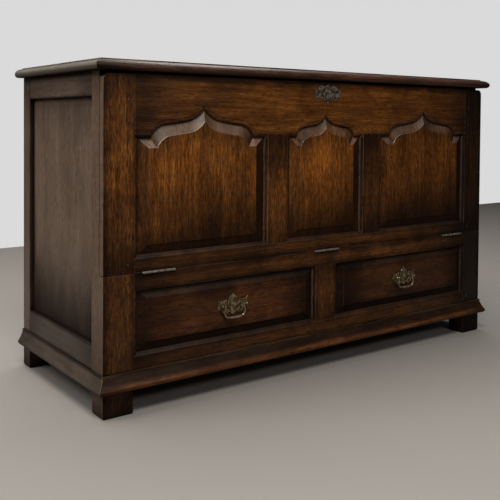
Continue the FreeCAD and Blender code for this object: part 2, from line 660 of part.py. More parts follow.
# arcs of the right half of a willow plate's outline, from the point of its dome down to its
# lower tip, each by its start, middle and end: the share of the half width, and of the height
# above the posts (positive) or below them (negative)
WILLOW_FINIAL = [(0, 1), (0.05, 0.88), (0.13, 0.80)]
WILLOW_DOME = [(0.13, 0.80), (0.28, 0.50), (0.33, 0.10)]
WILLOW_CHEEK = [(0.33, 0.10), (0.40, 0.22), (0.43, 0.54)]
WILLOW_HORN = [(0.43, 0.54), (0.68, 0.38), (0.98, 0.56)]
WILLOW_WAIST = [(0.98, 0.56), (0.93, 0.24), (1, -0.08)]
WILLOW_WING = [(1, -0.08), (0.97, -0.27), (0.88, -0.42)]
WILLOW_CURL = [(0.88, -0.42), (0.79, -0.46), (0.72, -0.34)]
WILLOW_LOBE = [(0.72, -0.34), (0.53, -0.86), (0.26, -0.66)]
WILLOW_TIP = [(0.26, -0.66), (0.14, -0.79), (0, -1)]
WILLOW_RUNS = [WILLOW_FINIAL, WILLOW_DOME, WILLOW_CHEEK, WILLOW_HORN, WILLOW_WAIST, WILLOW_WING,
               WILLOW_CURL, WILLOW_LOBE, WILLOW_TIP]

# the leaf pierced through each half of the plate, from its foot up the outer side and back
WILLOW_LEAF = [[(0.12, -0.52), (0.42, -0.34), (0.56, 0.06)], [(0.56, 0.06), (0.26, -0.12), (0.12, -0.52)]]


def willow_plate(x, z, face_y, up):
    """A willow plate planted on a face, with its dome up (1) or down (-1)."""
    def curves(runs, side):
        edges = []
        for run in runs:
            points = []
            for across, height in run:
                reach = PLATE_TOP if height > 0 else PLATE_FOOT
                points.append(Vec(x + side * across * PLATE_W / 2, face_y - PLATE_T, z + up * height * reach))
            edges.append(arc(*points))
        return edges

    outline = Part.Wire(Part.__sortEdges__(curves(WILLOW_RUNS, -1) + curves(WILLOW_RUNS, 1)))
    plate = Part.makeFace(outline, "Part::FaceMakerSimple").extrude(Vec(0, PLATE_T, 0))
    leaves = [Part.Face(Part.Wire(curves(WILLOW_LEAF, side))) for side in (-1, 1)]
    return cut_by(plate, [leaf.extrude(Vec(0, PLATE_T, 0)) for leaf in leaves])


def keyhole(y0, y1):
    """A round-headed keyhole, cut from y0 to y1."""
    head = Part.makeCylinder(KEYHOLE_R, y1 - y0, Vec(0, y0, KEYHOLE_Z), Vec(0, 1, 0))
    slot = block(-KEYHOLE_SLOT_W / 2, KEYHOLE_SLOT_W / 2, y0, y1, KEYHOLE_Z - KEYHOLE_SLOT_H, KEYHOLE_Z)
    return joined([head, slot])


def escutcheon():
    return willow_plate(0, KEYHOLE_Z, 0, -1).cut(keyhole(-PLATE_T - THROUGH, THROUGH))


# ---------------------------------------------------------------- lock

def lock_case_blank():
    case = block(-LOCK_W / 2, LOCK_W / 2, LOCK_Y, FALL_T, FALL_TOP_Z - LOCK_H, FALL_TOP_Z)
    selvedge = block(-SELVEDGE_W / 2, SELVEDGE_W / 2, FALL_T - SELVEDGE_D, FALL_T,
                     FALL_TOP_Z - SELVEDGE_T, FALL_TOP_Z)
    return joined([case, selvedge])


def bolt_space(clearance, travel, top):
    """The bolt at rest, with room round it: for the case's slot and for the bolt itself."""
    half = BOLT_W / 2 + clearance
    return block(-half, half, BOLT_Y - clearance, BOLT_Y + BOLT_T + clearance,
                 BOLT_TOP_Z - BOLT_H - clearance, top + travel)


def lock_case():
    """The case let into the back of the rail, with the slot that the bolt shoots through."""
    slot = bolt_space(BOLT_CLEARANCE, THROUGH, FALL_TOP_Z)
    key_way = keyhole(LOCK_Y - THROUGH, BOLT_Y)
    return cut_by(lock_case_blank(), [slot, key_way])


def lock_bolt():
    return bolt_space(0, 0, BOLT_TOP_Z)


def strike_plate():
    """Let into the underside of the lid, over the bolt."""
    middle_y = BOLT_Y + BOLT_T / 2
    plate = block(-STRIKE_W / 2, STRIKE_W / 2, middle_y - STRIKE_D / 2, middle_y + STRIKE_D / 2,
                  LID_Z, LID_Z + STRIKE_T)
    return plate.cut(strike_mortise())


def strike_mortise():
    return bolt_space(STRIKE_SLOT_CLEARANCE, BOLT_TRAVEL + BOLT_HEADROOM, BOLT_TOP_Z)


# ---------------------------------------------------------------- lid

def moulded_edge(place):
    """Section of the lid's moulded edge, from its underside up to its top: a round nose, a
    thumbnail and a small step.  place(inset, height) gives a point of it."""
    slant = LID_NOSE_R * (1 - math.sqrt(0.5))
    thumb_z = LID_NOSE_R + LID_THUMB_H
    nose = arc(place(LID_NOSE_R, 0), place(slant, slant), place(0, LID_NOSE_R))
    oval = Part.Ellipse(place(0, LID_NOSE_R), place(LID_THUMB_W, thumb_z), place(LID_THUMB_W, LID_NOSE_R))
    thumb = Part.ArcOfEllipse(oval, 0, math.pi / 2).toShape()
    return [nose, thumb, line(place(LID_THUMB_W, thumb_z), place(LID_THUMB_W, LID_T))]


def whole_lid():
    """The lid: a flat middle, and moulded edges on its front and both ends, mitred where they
    meet."""
    half = HALF_W + LID_SIDE_OVERHANG
    front_y = -LID_FRONT_OVERHANG
    rear_y = CARCASS_D + LID_REAR_OVERHANG
    edge_w = LID_THUMB_W + LID_NOSE_R

    def front(inset, height):
        return Vec(-half - THROUGH, front_y + inset, LID_Z + height)

    def left(inset, height):
        return Vec(inset - half, front_y - THROUGH, LID_Z + height)

    def bar(place, run, plan):
        flats = [line(place(LID_THUMB_W, LID_T), place(edge_w, LID_T)),
                 line(place(edge_w, LID_T), place(edge_w, 0)),
                 line(place(edge_w, 0), place(LID_NOSE_R, 0))]
        length = Part.Face(Part.Wire(moulded_edge(place) + flats)).extrude(run)
        base = [Vec(x, y, LID_Z - THROUGH) for x, y in plan]
        return length.common(extruded(base, Vec(0, 0, LID_T + 2 * THROUGH)))

    outer = (half + THROUGH, front_y - THROUGH)
    inner = (half - edge_w, front_y + edge_w)
    ahead = bar(front, Vec(2 * (half + THROUGH), 0, 0),
                [(-outer[0], outer[1]), outer, inner, (-inner[0], inner[1])])
    side = bar(left, Vec(0, rear_y - front_y + THROUGH, 0),
               [(-outer[0], outer[1]), (-inner[0], inner[1]), (-inner[0], rear_y), (-outer[0], rear_y)])
    middle = block(-inner[0], inner[0], inner[1], rear_y, LID_Z, LID_TOP_Z)
    return joined([middle, ahead, side, mirrored(side)])


def lid_boards():
    """The lid's two boards, the hinges and the strike let into their undersides."""
    leaves, recesses = hinge_set(1, True)
    lid = cut_by(whole_lid(), recesses + [strike_plate(), strike_mortise()])
    split_y = LID_FRONT_BOARD_D - LID_FRONT_OVERHANG
    half = HALF_W + LID_SIDE_OVERHANG
    ahead = block(-half, half, -LID_FRONT_OVERHANG, split_y, LID_Z, LID_TOP_Z)
    return lid.common(ahead), lid.cut(ahead)


# ---------------------------------------------------------------- drawers (the left one)

def drawer_ends():
    """Outer faces of the left drawer."""
    return -DRAWER_X - DRAWER_W / 2, -DRAWER_X + DRAWER_W / 2


def drawer_front_blank():
    """The front, with a raised field and a bevel round it."""
    x0, x1 = drawer_ends()
    z1 = DRAWER_Z + DRAWER_H
    edge_y = DRAWER_FACE_Y + DRAWER_FIELD_STEP + DRAWER_BEVEL_D
    field = (x0 + DRAWER_FIELD_SIDE, x1 - DRAWER_FIELD_SIDE,
             DRAWER_Z + DRAWER_FIELD_TOP, z1 - DRAWER_FIELD_TOP)
    board = block(x0, x1, edge_y, DRAWER_FRONT_END_Y, DRAWER_Z, z1)
    bevel = Part.makeLoft([rectangle(*field, DRAWER_FACE_Y + DRAWER_FIELD_STEP),
                           rectangle(x0, x1, DRAWER_Z, z1, edge_y)], True, True)
    raised = Part.Face(rectangle(*field, DRAWER_FACE_Y)).extrude(Vec(0, DRAWER_FIELD_STEP, 0))
    return joined([board, bevel, raised])


def dovetailed_side(x0):
    """A side with tails on both ends: lapped at the front, through at the back."""
    z1 = DRAWER_Z + DRAWER_H - DRAWER_SIDE_DROP
    back_y = DRAWER_END_Y - DRAWER_SIDE_T
    pitch = (z1 - DRAWER_Z) / TAIL_COUNT
    centres = [DRAWER_Z + pitch * (index + 0.5) for index in range(TAIL_COUNT)]

    def tails(shoulder_y, end_y):
        points = []
        for z in centres:
            points += [(shoulder_y, z - TAIL_NECK / 2), (end_y, z - TAIL_END / 2),
                       (end_y, z + TAIL_END / 2), (shoulder_y, z + TAIL_NECK / 2)]
        return points

    front = tails(DRAWER_FRONT_END_Y, DRAWER_FRONT_END_Y - TAIL_L)
    back = tails(back_y, DRAWER_END_Y)
    outline = [(DRAWER_FRONT_END_Y, DRAWER_Z)] + front + [(DRAWER_FRONT_END_Y, z1), (back_y, z1)]
    outline += back[::-1] + [(back_y, DRAWER_Z)]
    return extruded([Vec(x0, y, z) for y, z in outline], Vec(DRAWER_SIDE_T, 0, 0))


def left_drawer():
    """The pieces of the left drawer's box, by name."""
    x0, x1 = drawer_ends()
    bottom_z = DRAWER_Z + DRAWER_BOTTOM_LIFT
    inset = DRAWER_SIDE_T - DRAWER_GROOVE_D
    bottom = block(x0 + inset, x1 - inset, DRAWER_FRONT_END_Y - DRAWER_GROOVE_D, DRAWER_END_Y,
                   bottom_z, bottom_z + DRAWER_BOTTOM_T)
    sides = [dovetailed_side(x0), dovetailed_side(x1 - DRAWER_SIDE_T)]
    back = block(x0, x1, DRAWER_END_Y - DRAWER_SIDE_T, DRAWER_END_Y, bottom_z + DRAWER_BOTTOM_T,
                 DRAWER_Z + DRAWER_H - DRAWER_SIDE_DROP)
    front = cut_by(drawer_front_blank(), sides + [bottom] + handle_posts())
    return {"front": front, "outer_side": sides[0].cut(bottom), "inner_side": sides[1].cut(bottom),
            "back": cut_by(back, sides), "bottom": bottom}


# ---------------------------------------------------------------- handles (of the left drawer)

def handle_plate():
    return cut_by(willow_plate(-DRAWER_X, HANDLE_Z, DRAWER_FACE_Y, 1), handle_posts())


def handle_post(x):
    """A turned post: a flange on the plate, a neck, a ball bored for the bail, and a shank
    that runs through the drawer front."""
    plate_y = DRAWER_FACE_Y - PLATE_T
    end_y = DRAWER_FRONT_END_Y + POST_SHANK_END
    out = Vec(0, -1, 0)
    flange = Part.makeCylinder(POST_FLANGE_R, POST_FLANGE_T, Vec(x, plate_y, HANDLE_Z), out)
    neck = Part.makeCylinder(POST_NECK_R, POST_BALL_OUT, Vec(x, plate_y, HANDLE_Z), out)
    shank = Part.makeCylinder(POST_SHANK_R, end_y - plate_y, Vec(x, end_y, HANDLE_Z), out)
    ball = Part.makeSphere(POST_BALL_R, Vec(x, BAIL_Y, HANDLE_Z))
    bore_r = BAIL_PIN_R + BAIL_PIN_CLEARANCE
    bore = Part.makeCylinder(bore_r, 2 * POST_BALL_R, Vec(x - POST_BALL_R, BAIL_Y, HANDLE_Z), Vec(1, 0, 0))
    return joined([shank, flange, neck, ball]).cut(bore)


def handle_posts():
    return [handle_post(-DRAWER_X + side * POST_SPACING / 2) for side in (-1, 1)]


def handle_nuts():
    """Square nuts on the shanks, inside the drawer."""
    nuts = []
    for side, post in zip((-1, 1), handle_posts()):
        x = -DRAWER_X + side * POST_SPACING / 2
        nut = block(x - NUT_W / 2, x + NUT_W / 2, DRAWER_FRONT_END_Y, DRAWER_FRONT_END_Y + NUT_T,
                    HANDLE_Z - NUT_W / 2, HANDLE_Z + NUT_W / 2)
        nuts.append(nut.cut(post))
    return nuts


def rounded_path(points, radii):
    """Straight runs through the points, joined by tangent arcs of the given radii."""
    edges = []
    start = points[0]
    for index in range(1, len(points) - 1):
        corner = points[index]
        before = (points[index - 1] - corner).normalize()
        after = (points[index + 1] - corner).normalize()
        half_turn = (math.pi - before.getAngle(after)) / 2
        setback = radii[index - 1] * math.tan(half_turn)
        arc_start = corner + before * setback
        arc_end = corner + after * setback
        middle_line = (before + after).normalize()
        middle = corner + middle_line * (radii[index - 1] / math.cos(half_turn) - radii[index - 1])
        edges.append(Part.LineSegment(start, arc_start).toShape())
        edges.append(Part.Arc(arc_start, middle, arc_end).toShape())
        start = arc_end
    edges.append(Part.LineSegment(start, points[-1]).toShape())
    return Part.Wire(edges)


def bail():
    """The swan-neck bail: a pin into each post, arms that bow out, and a swelled grip."""
    pin_x = POST_SPACING / 2 + BAIL_PIN_R
    bow_x = BAIL_ARM_X + BAIL_BOW
    grip_x = BAIL_GRIP_L / 2

    def at(x, down):
        return Vec(-DRAWER_X + x, BAIL_Y, HANDLE_Z - down)

    half = [(BAIL_ARM_X, 0), (BAIL_ARM_X, BAIL_DROP * BAIL_NECK_AT), (bow_x, BAIL_DROP * BAIL_BOW_AT),
            (bow_x * BAIL_TUCK, BAIL_DROP * BAIL_TUCK_AT), (grip_x, BAIL_DROP)]
    points = [at(x, down) for x, down in half] + [at(-x, down) for x, down in reversed(half)]
    bends = [BAIL_NECK_BEND, BAIL_BOW_BEND, BAIL_TUCK_BEND, BAIL_BOW_BEND]
    path = rounded_path(points, bends + bends[::-1])
    ring = Part.Wire(Part.Circle(points[0], Vec(0, 0, 1), BAIL_R).toShape())
    rod = path.makePipeShell([ring], True, True)
    pieces = [rod]
    for side in (-1, 1):
        knuckle = Part.makeSphere(BAIL_R, at(side * BAIL_ARM_X, 0))
        pin = Part.makeCylinder(BAIL_PIN_R, pin_x - BAIL_ARM_X, at(side * BAIL_ARM_X, 0), Vec(side, 0, 0))
        pieces += [knuckle, pin]
    pieces.append(grip(at(0, BAIL_DROP)))
    return joined(pieces)


def grip(centre):
    """The swelling in the middle of the bail, with a ring at each end."""
    half = BAIL_GRIP_L / 2
    collar = BAIL_GRIP_R / 2
    start = [Vec(-half, 0, 0), Vec(-half, 0, BAIL_GRIP_R), Vec(-half + collar, 0, BAIL_GRIP_R)]
    waist_r = (BAIL_R + BAIL_GRIP_R) / 2
    swell = Part.Arc(Vec(-half + collar, 0, waist_r), Vec(0, 0, BAIL_GRIP_R), Vec(half - collar, 0, waist_r))
    end = [Vec(half - collar, 0, BAIL_GRIP_R), Vec(half, 0, BAIL_GRIP_R), Vec(half, 0, 0)]
    edges = [Part.makePolygon(start + [Vec(-half + collar, 0, waist_r)]), swell.toShape(),
             Part.makePolygon([Vec(half - collar, 0, waist_r)] + end + [start[0]])]
    wire = Part.Wire([edge for shape in edges for edge in shape.Edges])
    turned = Part.Face(wire).revolve(Vec(0, 0, 0), Vec(1, 0, 0), 360)
    turned.translate(centre)
    return turned


# ---------------------------------------------------------------- assembly

def save(name, *solids):
    """Write one node: each of its solids, moved into the finished model's frame."""
    moved = []
    for solid in solids:
        solid = solid.copy()
        solid.translate(Vec(0, CENTRE_Y, 0))
        moved.append(solid)
    shape = moved[0] if len(moved) == 1 else Part.makeCompound(moved)
    shape.exportStep("parts/" + name + ".step")


def save_pair(name, shape):
    """Write a piece of the left side and its mirror image on the right."""
    save(name.format("left"), shape)
    save(name.format("right"), mirrored(shape))


def save_handle_part(name, *solids):
    """Write a part of the left drawer's handle, and the same part on the right drawer."""
    save(name.format("left"), *solids)
    moved = [solid.copy() for solid in solids]
    for solid in moved:
        solid.translate(Vec(2 * DRAWER_X, 0, 0))
    save(name.format("right"), *moved)


def build_carcass():
    leaves, recesses = hinge_set(-1, False)
    lid_leaves, lid_recesses = hinge_set(-1, True)
    tenon_y = (RAIL_D - TENON_T) / 2
    muntin = drawer_muntin()
    mid_rail = rail_x(RAIL_END_X, 0, RAIL_D, OPENING_TOP_Z, MID_RAIL_Z, tenon_y)
    bottom_rail = rail_x(RAIL_END_X, 0, RAIL_D, BOTTOM_RAIL_Z, SILL_Z, tenon_y)
    top_rail = rail_x(OPENING_X, FALL_BACK_Y, BACK_RAIL_D, CARCASS_TOP_Z - INNER_RAIL_H, CARCASS_TOP_Z,
                      FALL_BACK_Y + (BACK_RAIL_D - TENON_T) / 2)
    back_tenon_y = BACK_RAIL_Y + (BACK_RAIL_D - TENON_T) / 2
    back_top = rail_x(OPENING_X, BACK_RAIL_Y, CARCASS_D - BACK_RAIL_Y, BACK_BOARD_TOP_Z,
                      CARCASS_TOP_Z, back_tenon_y)
    back_mid = rail_x(OPENING_X, BACK_RAIL_Y, BACK_RAIL_D, OPENING_TOP_Z, MID_RAIL_Z, back_tenon_y)
    back_bottom = rail_x(OPENING_X, BACK_RAIL_Y, BACK_RAIL_D, BACK_BOARD_FOOT_Z, SILL_Z, back_tenon_y)
    side_top = side_rail(CARCASS_TOP_Z - SIDE_TOP_RAIL_H, CARCASS_TOP_Z)
    side_bottom = side_rail(BOTTOM_RAIL_Z, SIDE_SILL_Z)
    panel = side_panel()
    edges = [drawer_sticking(), mirrored(drawer_sticking())]
    front_tools = [mid_rail, bottom_rail, top_rail, side_top, side_bottom, panel] + edges + recesses
    rear_tools = [back_top, back_mid, back_bottom, side_top, side_bottom, panel] + lid_recesses

    save_pair("front_{}_post", cut_by(front_post(), front_tools))
    save_pair("rear_{}_post", cut_by(rear_post(), rear_tools))
    save_pair("{}_top_rail", side_top.cut(panel))
    save_pair("{}_bottom_rail", side_bottom.cut(panel))
    save_pair("{}_side_panel", panel)
    save("front_top_rail", top_rail)
    save("front_mid_rail", cut_by(mid_rail, [muntin] + recesses))
    save("front_bottom_rail", cut_by(bottom_rail, [muntin] + edges))
    save("drawer_muntin", cut_by(muntin, edges))
    save("back_top_rail", cut_by(back_top, lid_recesses))
    save("back_mid_rail", back_mid)
    save("back_bottom_rail", back_bottom)
    save("back_boards", *back_boards())
    save("floor_boards", *floor_boards())
    save("floor_bearers", *floor_bearers())
    save("drawer_runners", *drawer_runners())
    save("front_base_moulding", moulding_front())
    save_pair("{}_base_moulding", moulding_side())
    save("fall_hinge_fixed_leaves", *leaves)
    save("lid_hinge_fixed_leaves", *lid_leaves)
    pins = [hinge_pin(x, FALL_HINGE_Y, FALL_HINGE_Z) for x in HINGE_XS]
    pins += [hinge_pin(x, LID_HINGE_Y, LID_HINGE_Z) for x in HINGE_XS]
    save("hinge_pins", *pins)


def build_fall():
    leaves, recesses = hinge_set(1, False)
    panels = [fielded_panel(opening) for opening in fall_openings()]
    edges = [fall_sticking(opening) for opening in fall_openings()]
    top_rail = fall_top_rail()
    bottom_rail = rail_x(RAIL_END_X, 0, FALL_T, FALL_Z, FALL_SILL_Z, FALL_TENON_Y, FALL_TENON_T)
    muntin = fall_muntin()
    both_muntins = [muntin, mirrored(muntin)]
    save_pair("fall_{}_stile", cut_by(fall_stile(), [top_rail, bottom_rail] + panels + edges + recesses))
    save("fall_top_rail", cut_by(top_rail, both_muntins + panels + edges))
    save("fall_bottom_rail", cut_by(bottom_rail, both_muntins + panels + edges + recesses))
    save_pair("fall_{}_muntin", cut_by(muntin, panels + edges))
    for name, panel in zip(("left", "centre", "right"), panels):
        save("fall_" + name + "_panel", panel)
    save("fall_hinge_moving_leaves", *leaves)
    save("escutcheon", escutcheon())
    save("lock_case", lock_case())
    save("lock_bolt", lock_bolt())


def build_lid():
    leaves, recesses = hinge_set(1, True)
    front, rear = lid_boards()
    save("lid_front_board", front)
    save("lid_rear_board", rear)
    save("lid_hinge_moving_leaves", *leaves)
    save("lock_strike_plate", strike_plate())


def build_drawers():
    for name, shape in left_drawer().items():
        save_pair("drawer_{}_" + name, shape)
    save_handle_part("drawer_{}_handle_plate", handle_plate())
    save_handle_part("drawer_{}_handle_posts", *handle_posts(), *handle_nuts())
    save_handle_part("drawer_{}_bail", bail())


build_carcass()
build_fall()
build_lid()
build_drawers()
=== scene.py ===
import math
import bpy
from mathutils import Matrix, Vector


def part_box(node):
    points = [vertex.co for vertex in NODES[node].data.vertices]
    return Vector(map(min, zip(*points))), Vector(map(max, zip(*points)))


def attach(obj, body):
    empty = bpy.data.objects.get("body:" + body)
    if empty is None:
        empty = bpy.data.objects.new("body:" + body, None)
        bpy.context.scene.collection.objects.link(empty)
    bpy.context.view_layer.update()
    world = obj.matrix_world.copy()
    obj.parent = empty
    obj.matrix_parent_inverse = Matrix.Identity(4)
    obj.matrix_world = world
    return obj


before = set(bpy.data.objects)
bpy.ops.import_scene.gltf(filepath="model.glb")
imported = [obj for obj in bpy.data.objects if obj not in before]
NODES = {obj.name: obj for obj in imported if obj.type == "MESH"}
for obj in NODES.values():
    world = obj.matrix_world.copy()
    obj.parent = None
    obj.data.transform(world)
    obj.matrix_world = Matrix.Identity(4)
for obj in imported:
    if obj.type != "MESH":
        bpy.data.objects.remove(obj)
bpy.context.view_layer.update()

from types import SimpleNamespace

import bpy
from mathutils import Matrix, Vector

# Looks of an old joined oak mule chest: waxed oak darkened at its ends, with dirt and painted shade
# in its corners and painted sheen, aged brass handles and hinges, the pegs and screws that hold it
# together, and the studio round it.
# Lengths are in metres, in the frame of the imported model: +X to the right, +Y back, +Z up.

# ---------------------------------------------------------------- camera

CAMERA_AT = Vector((-1.4903, -1.9041, 0.7095))
CAMERA_YAW = 36.394             # degrees to the right of +Y
CAMERA_PITCH = 1.582            # degrees down
CAMERA_ROLL = 0.437
LENS_MM = 55.5
SENSOR_MM = 36.0
SHIFT_UP = -0.2154


def make_camera():
    data = bpy.data.cameras.new("camera")
    data.sensor_width = SENSOR_MM
    data.lens = LENS_MM
    data.shift_y = SHIFT_UP
    camera = bpy.data.objects.new("camera", data)
    bpy.context.scene.collection.objects.link(camera)
    turn = (Matrix.Rotation(-math.radians(CAMERA_YAW), 4, "Z")
            @ Matrix.Rotation(math.radians(90 - CAMERA_PITCH), 4, "X")
            @ Matrix.Rotation(math.radians(CAMERA_ROLL), 4, "Z"))
    camera.matrix_world = Matrix.Translation(CAMERA_AT) @ turn
    bpy.context.scene.camera = camera


# ---------------------------------------------------------------- shader helpers

def add(tree, kind, inputs=None, **settings):
    """A node with its settings, its inputs set to values or linked to sockets."""
    node = tree.nodes.new(kind)
    for key, value in settings.items():
        setattr(node, key, value)
    for key, value in (inputs or {}).items():
        if isinstance(value, bpy.types.NodeSocket):
            tree.links.new(value, node.inputs[key])
        else:
            node.inputs[key].default_value = value
    return node


def calc(tree, operation, a, b=0.0, c=0.0, clamp=False):
    node = add(tree, "ShaderNodeMath", {0: a, 1: b, 2: c}, operation=operation, use_clamp=clamp)
    return node.outputs[0]


def spread(tree, value, low, high, to_low=0.0, to_high=1.0):
    """value taken smoothly from low..high to to_low..to_high."""
    node = add(tree, "ShaderNodeMapRange",
               {"Value": value, "From Min": low, "From Max": high, "To Min": to_low, "To Max": to_high},
               interpolation_type="SMOOTHSTEP")
    return node.outputs[0]


def mixed(tree, share, a, b, blend="MIX"):
    node = add(tree, "ShaderNodeMix", {0: share, 6: a, 7: b}, data_type="RGBA", blend_type=blend)
    return node.outputs[2]


def scaled(tree, vector, scale):
    return add(tree, "ShaderNodeVectorMath", {0: vector, 1: scale}, operation="MULTIPLY").outputs[0]


def noise(tree, vector, detail=4.0, roughness=0.55, distortion=0.0):
    """Noise at a scale of 1, between about 0 and 1."""
    node = add(tree, "ShaderNodeTexNoise",
               {"Vector": vector, "Scale": 1.0, "Detail": detail, "Roughness": roughness,
                "Distortion": distortion})
    return node.outputs[0]


def rgb(red, green, blue):
    """A colour given as it looks on a screen, 0 to 255, in the linear values that shaders take."""
    def linear(value):
        share = value / 255
        return share / 12.92 if share <= 0.04045 else ((share + 0.055) / 1.055) ** 2.4
    return (linear(red), linear(green), linear(blue), 1.0)


def new_material(name):
    material = bpy.data.materials.new(name)
    material.use_nodes = True
    tree = material.node_tree
    tree.nodes.clear()
    surface = add(tree, "ShaderNodeBsdfPrincipled")
    add(tree, "ShaderNodeOutputMaterial", {"Surface": surface.outputs[0]})
    return material, tree, surface


def edge_share(tree, radius, low, high):
    """1 on an edge that the bevel node rounds, 0 on a flat."""
    normal = add(tree, "ShaderNodeNewGeometry").outputs["Normal"]
    rounded = add(tree, "ShaderNodeBevel", {"Radius": radius}, samples=4).outputs[0]
    agree = add(tree, "ShaderNodeVectorMath", {0: rounded, 1: normal}, operation="DOT_PRODUCT")
    return spread(tree, agree.outputs["Value"], low, high, 1.0, 0.0)


# ---------------------------------------------------------------- oak

AXES = {"X": (0, 1, 2), "Y": (1, 0, 2), "Z": (2, 0, 1)}     # along the grain, then the other two
FACE_Y = -0.25595               # front face of the chest
SHOW_EDGE = {"X": 2, "Z": 0}    # the axis across a board of the front, by its grain
SIDE_EDGE = {"Y": 2, "Z": 1}

# scales of the noises, along the grain and across it
STREAKS = (5.0, 110.0, 110.0)
FIBRES_UPRIGHT = (48.0, 310.0, 310.0)
FIBRES_LEVEL = (26.0, 440.0, 440.0)
PORES = (52.0, 430.0, 430.0)
PATCHES = (3.2, 11.0, 11.0)
SWELLS = (7.0, 18.0, 18.0)
CLOUDS = (14.0, 14.0, 14.0)

STREAK_SHARE = 0.26             # what streaks and fibres have in the figure
FIBRE_SHARE_UPRIGHT = 0.54
FIBRE_SHARE = 0.32
DARK_AT, MIDDLE_AT, LIGHT_AT = 0.36, 0.50, 0.66     # where each tone of the ramp is
EVEN_LOW, EVEN_HIGH = 0.3, 0.7                      # the noises seldom leave this range
CORNER_REACH = 0.022            # how far from a corner the painted shade, with some dirt, starts
END_REACH = 0.16                # how far from the end of a board
SEAM_REACH = (0.0008, 0.0050)
BEHIND_FACE = (0.018, 0.026)    # depths behind the front face where the show surface ends
MOULDING_TOP = (0.072, 0.086)   # heights between which the base moulding's upper part turns dark with painted shade
DARKER_RIGHT = (0.25, 0.66)     # the front's right end is darker with painted shade, between these places
SHEEN_LEFT = (-0.40, -0.15)     # and its left end has more of the painted sheen
FLANK_FOOT = (0.06, 0.50)       # heights between which the front posts' sides darken
EDGE_MASK_RADIUS = 0.003

# How each kind of oak looks: its dark, middle and light tones; finish, 1 for waxed show wood and 0
# for bare wood inside; uneven, how cloudy; ends, how dark towards the ends; rim, how far the dark
# along its sides reaches, and face, the axis that is measured on; hollow, the depths behind the
# front face between which mouldings turn dark with painted shade; wear_and_highlight, how pale the
# rubbed edges are, on the lid also a painted highlight; dust_sheen, how much dust and a painted
# sheen grey what slants up; edge, how wide the corners are rounded.
KINDS = {
    "front": dict(tones=(rgb(30, 12, 3), rgb(78, 43, 12), rgb(126, 78, 26)), finish=1.0, uneven=1.0,
                  ends=0.74, rim=0.026, face=SHOW_EDGE, hollow=(0.0010, 0.0060), wear_and_highlight=0.16, dust_sheen=0.09,
                  edge=0.0010),
    "moulding": dict(tones=(rgb(34, 14, 4), rgb(88, 48, 16), rgb(138, 84, 34)), finish=1.0, uneven=1.0,
                     ends=0.74, rim=0.0, face={}, hollow=None, wear_and_highlight=0.45, dust_sheen=0.05, edge=0.0008),
    "field": dict(tones=(rgb(46, 20, 4), rgb(104, 58, 16), rgb(152, 94, 34)), finish=1.0, uneven=1.0,
                  ends=0.74, rim=0.050, face=SHOW_EDGE, hollow=(0.0028, 0.0042), wear_and_highlight=0.0, dust_sheen=0.78,
                  edge=0.0007),
    "drawer": dict(tones=(rgb(28, 12, 4), rgb(72, 38, 13), rgb(108, 62, 23)), finish=1.0, uneven=1.0,
                   ends=0.74, rim=0.050, face=SHOW_EDGE, hollow=(0.0018, 0.0032), wear_and_highlight=0.0, dust_sheen=0.08,
                   edge=0.0009),
    # the sides' greyer tones are the oak's colour greyed by a painted sheen
    "side": dict(tones=(rgb(66, 54, 45), rgb(90, 74, 62), rgb(108, 90, 76)), finish=1.0, uneven=0.4,
                 ends=0.35, rim=0.008, face=SIDE_EDGE, hollow=None, wear_and_highlight=0.16, dust_sheen=0.03, edge=0.0010),
    # on the lid the pale rubbed edges are also a painted highlight along its arrises
    "lid": dict(tones=(rgb(22, 10, 6), rgb(50, 28, 16), rgb(86, 54, 33)), finish=1.0, uneven=0.6,
                ends=0.74, rim=0.0, face={}, hollow=None, wear_and_highlight=0.90, dust_sheen=0.10, edge=0.0009),
    "inner": dict(tones=(rgb(96, 72, 48), rgb(132, 104, 74), rgb(160, 132, 98)), finish=0.0, uneven=1.0,
                  ends=0.0, rim=0.0, face={}, hollow=None, wear_and_highlight=0.0, dust_sheen=0.0, edge=0.0008),
}
# the near-black that dirt and painted shade darken the oak towards
DARK_SHADE_AND_DIRT = rgb(10, 5, 3)
# dust and a painted sheen on what slants up
DUST_AND_SHEEN = rgb(172, 162, 151)
# rubbed edges, and on the lid also a painted highlight
WEAR_AND_HIGHLIGHT = rgb(176, 146, 112)
FLANK_SHEEN_DARK, FLANK_SHEEN_LIGHT = rgb(88, 70, 57), rgb(122, 101, 84)      # sides of the front posts: the oak greyed by a painted sheen
# the lid's left end, paler with a painted reflection of the window's light
LID_END_REFLECTION = rgb(168, 157, 140)


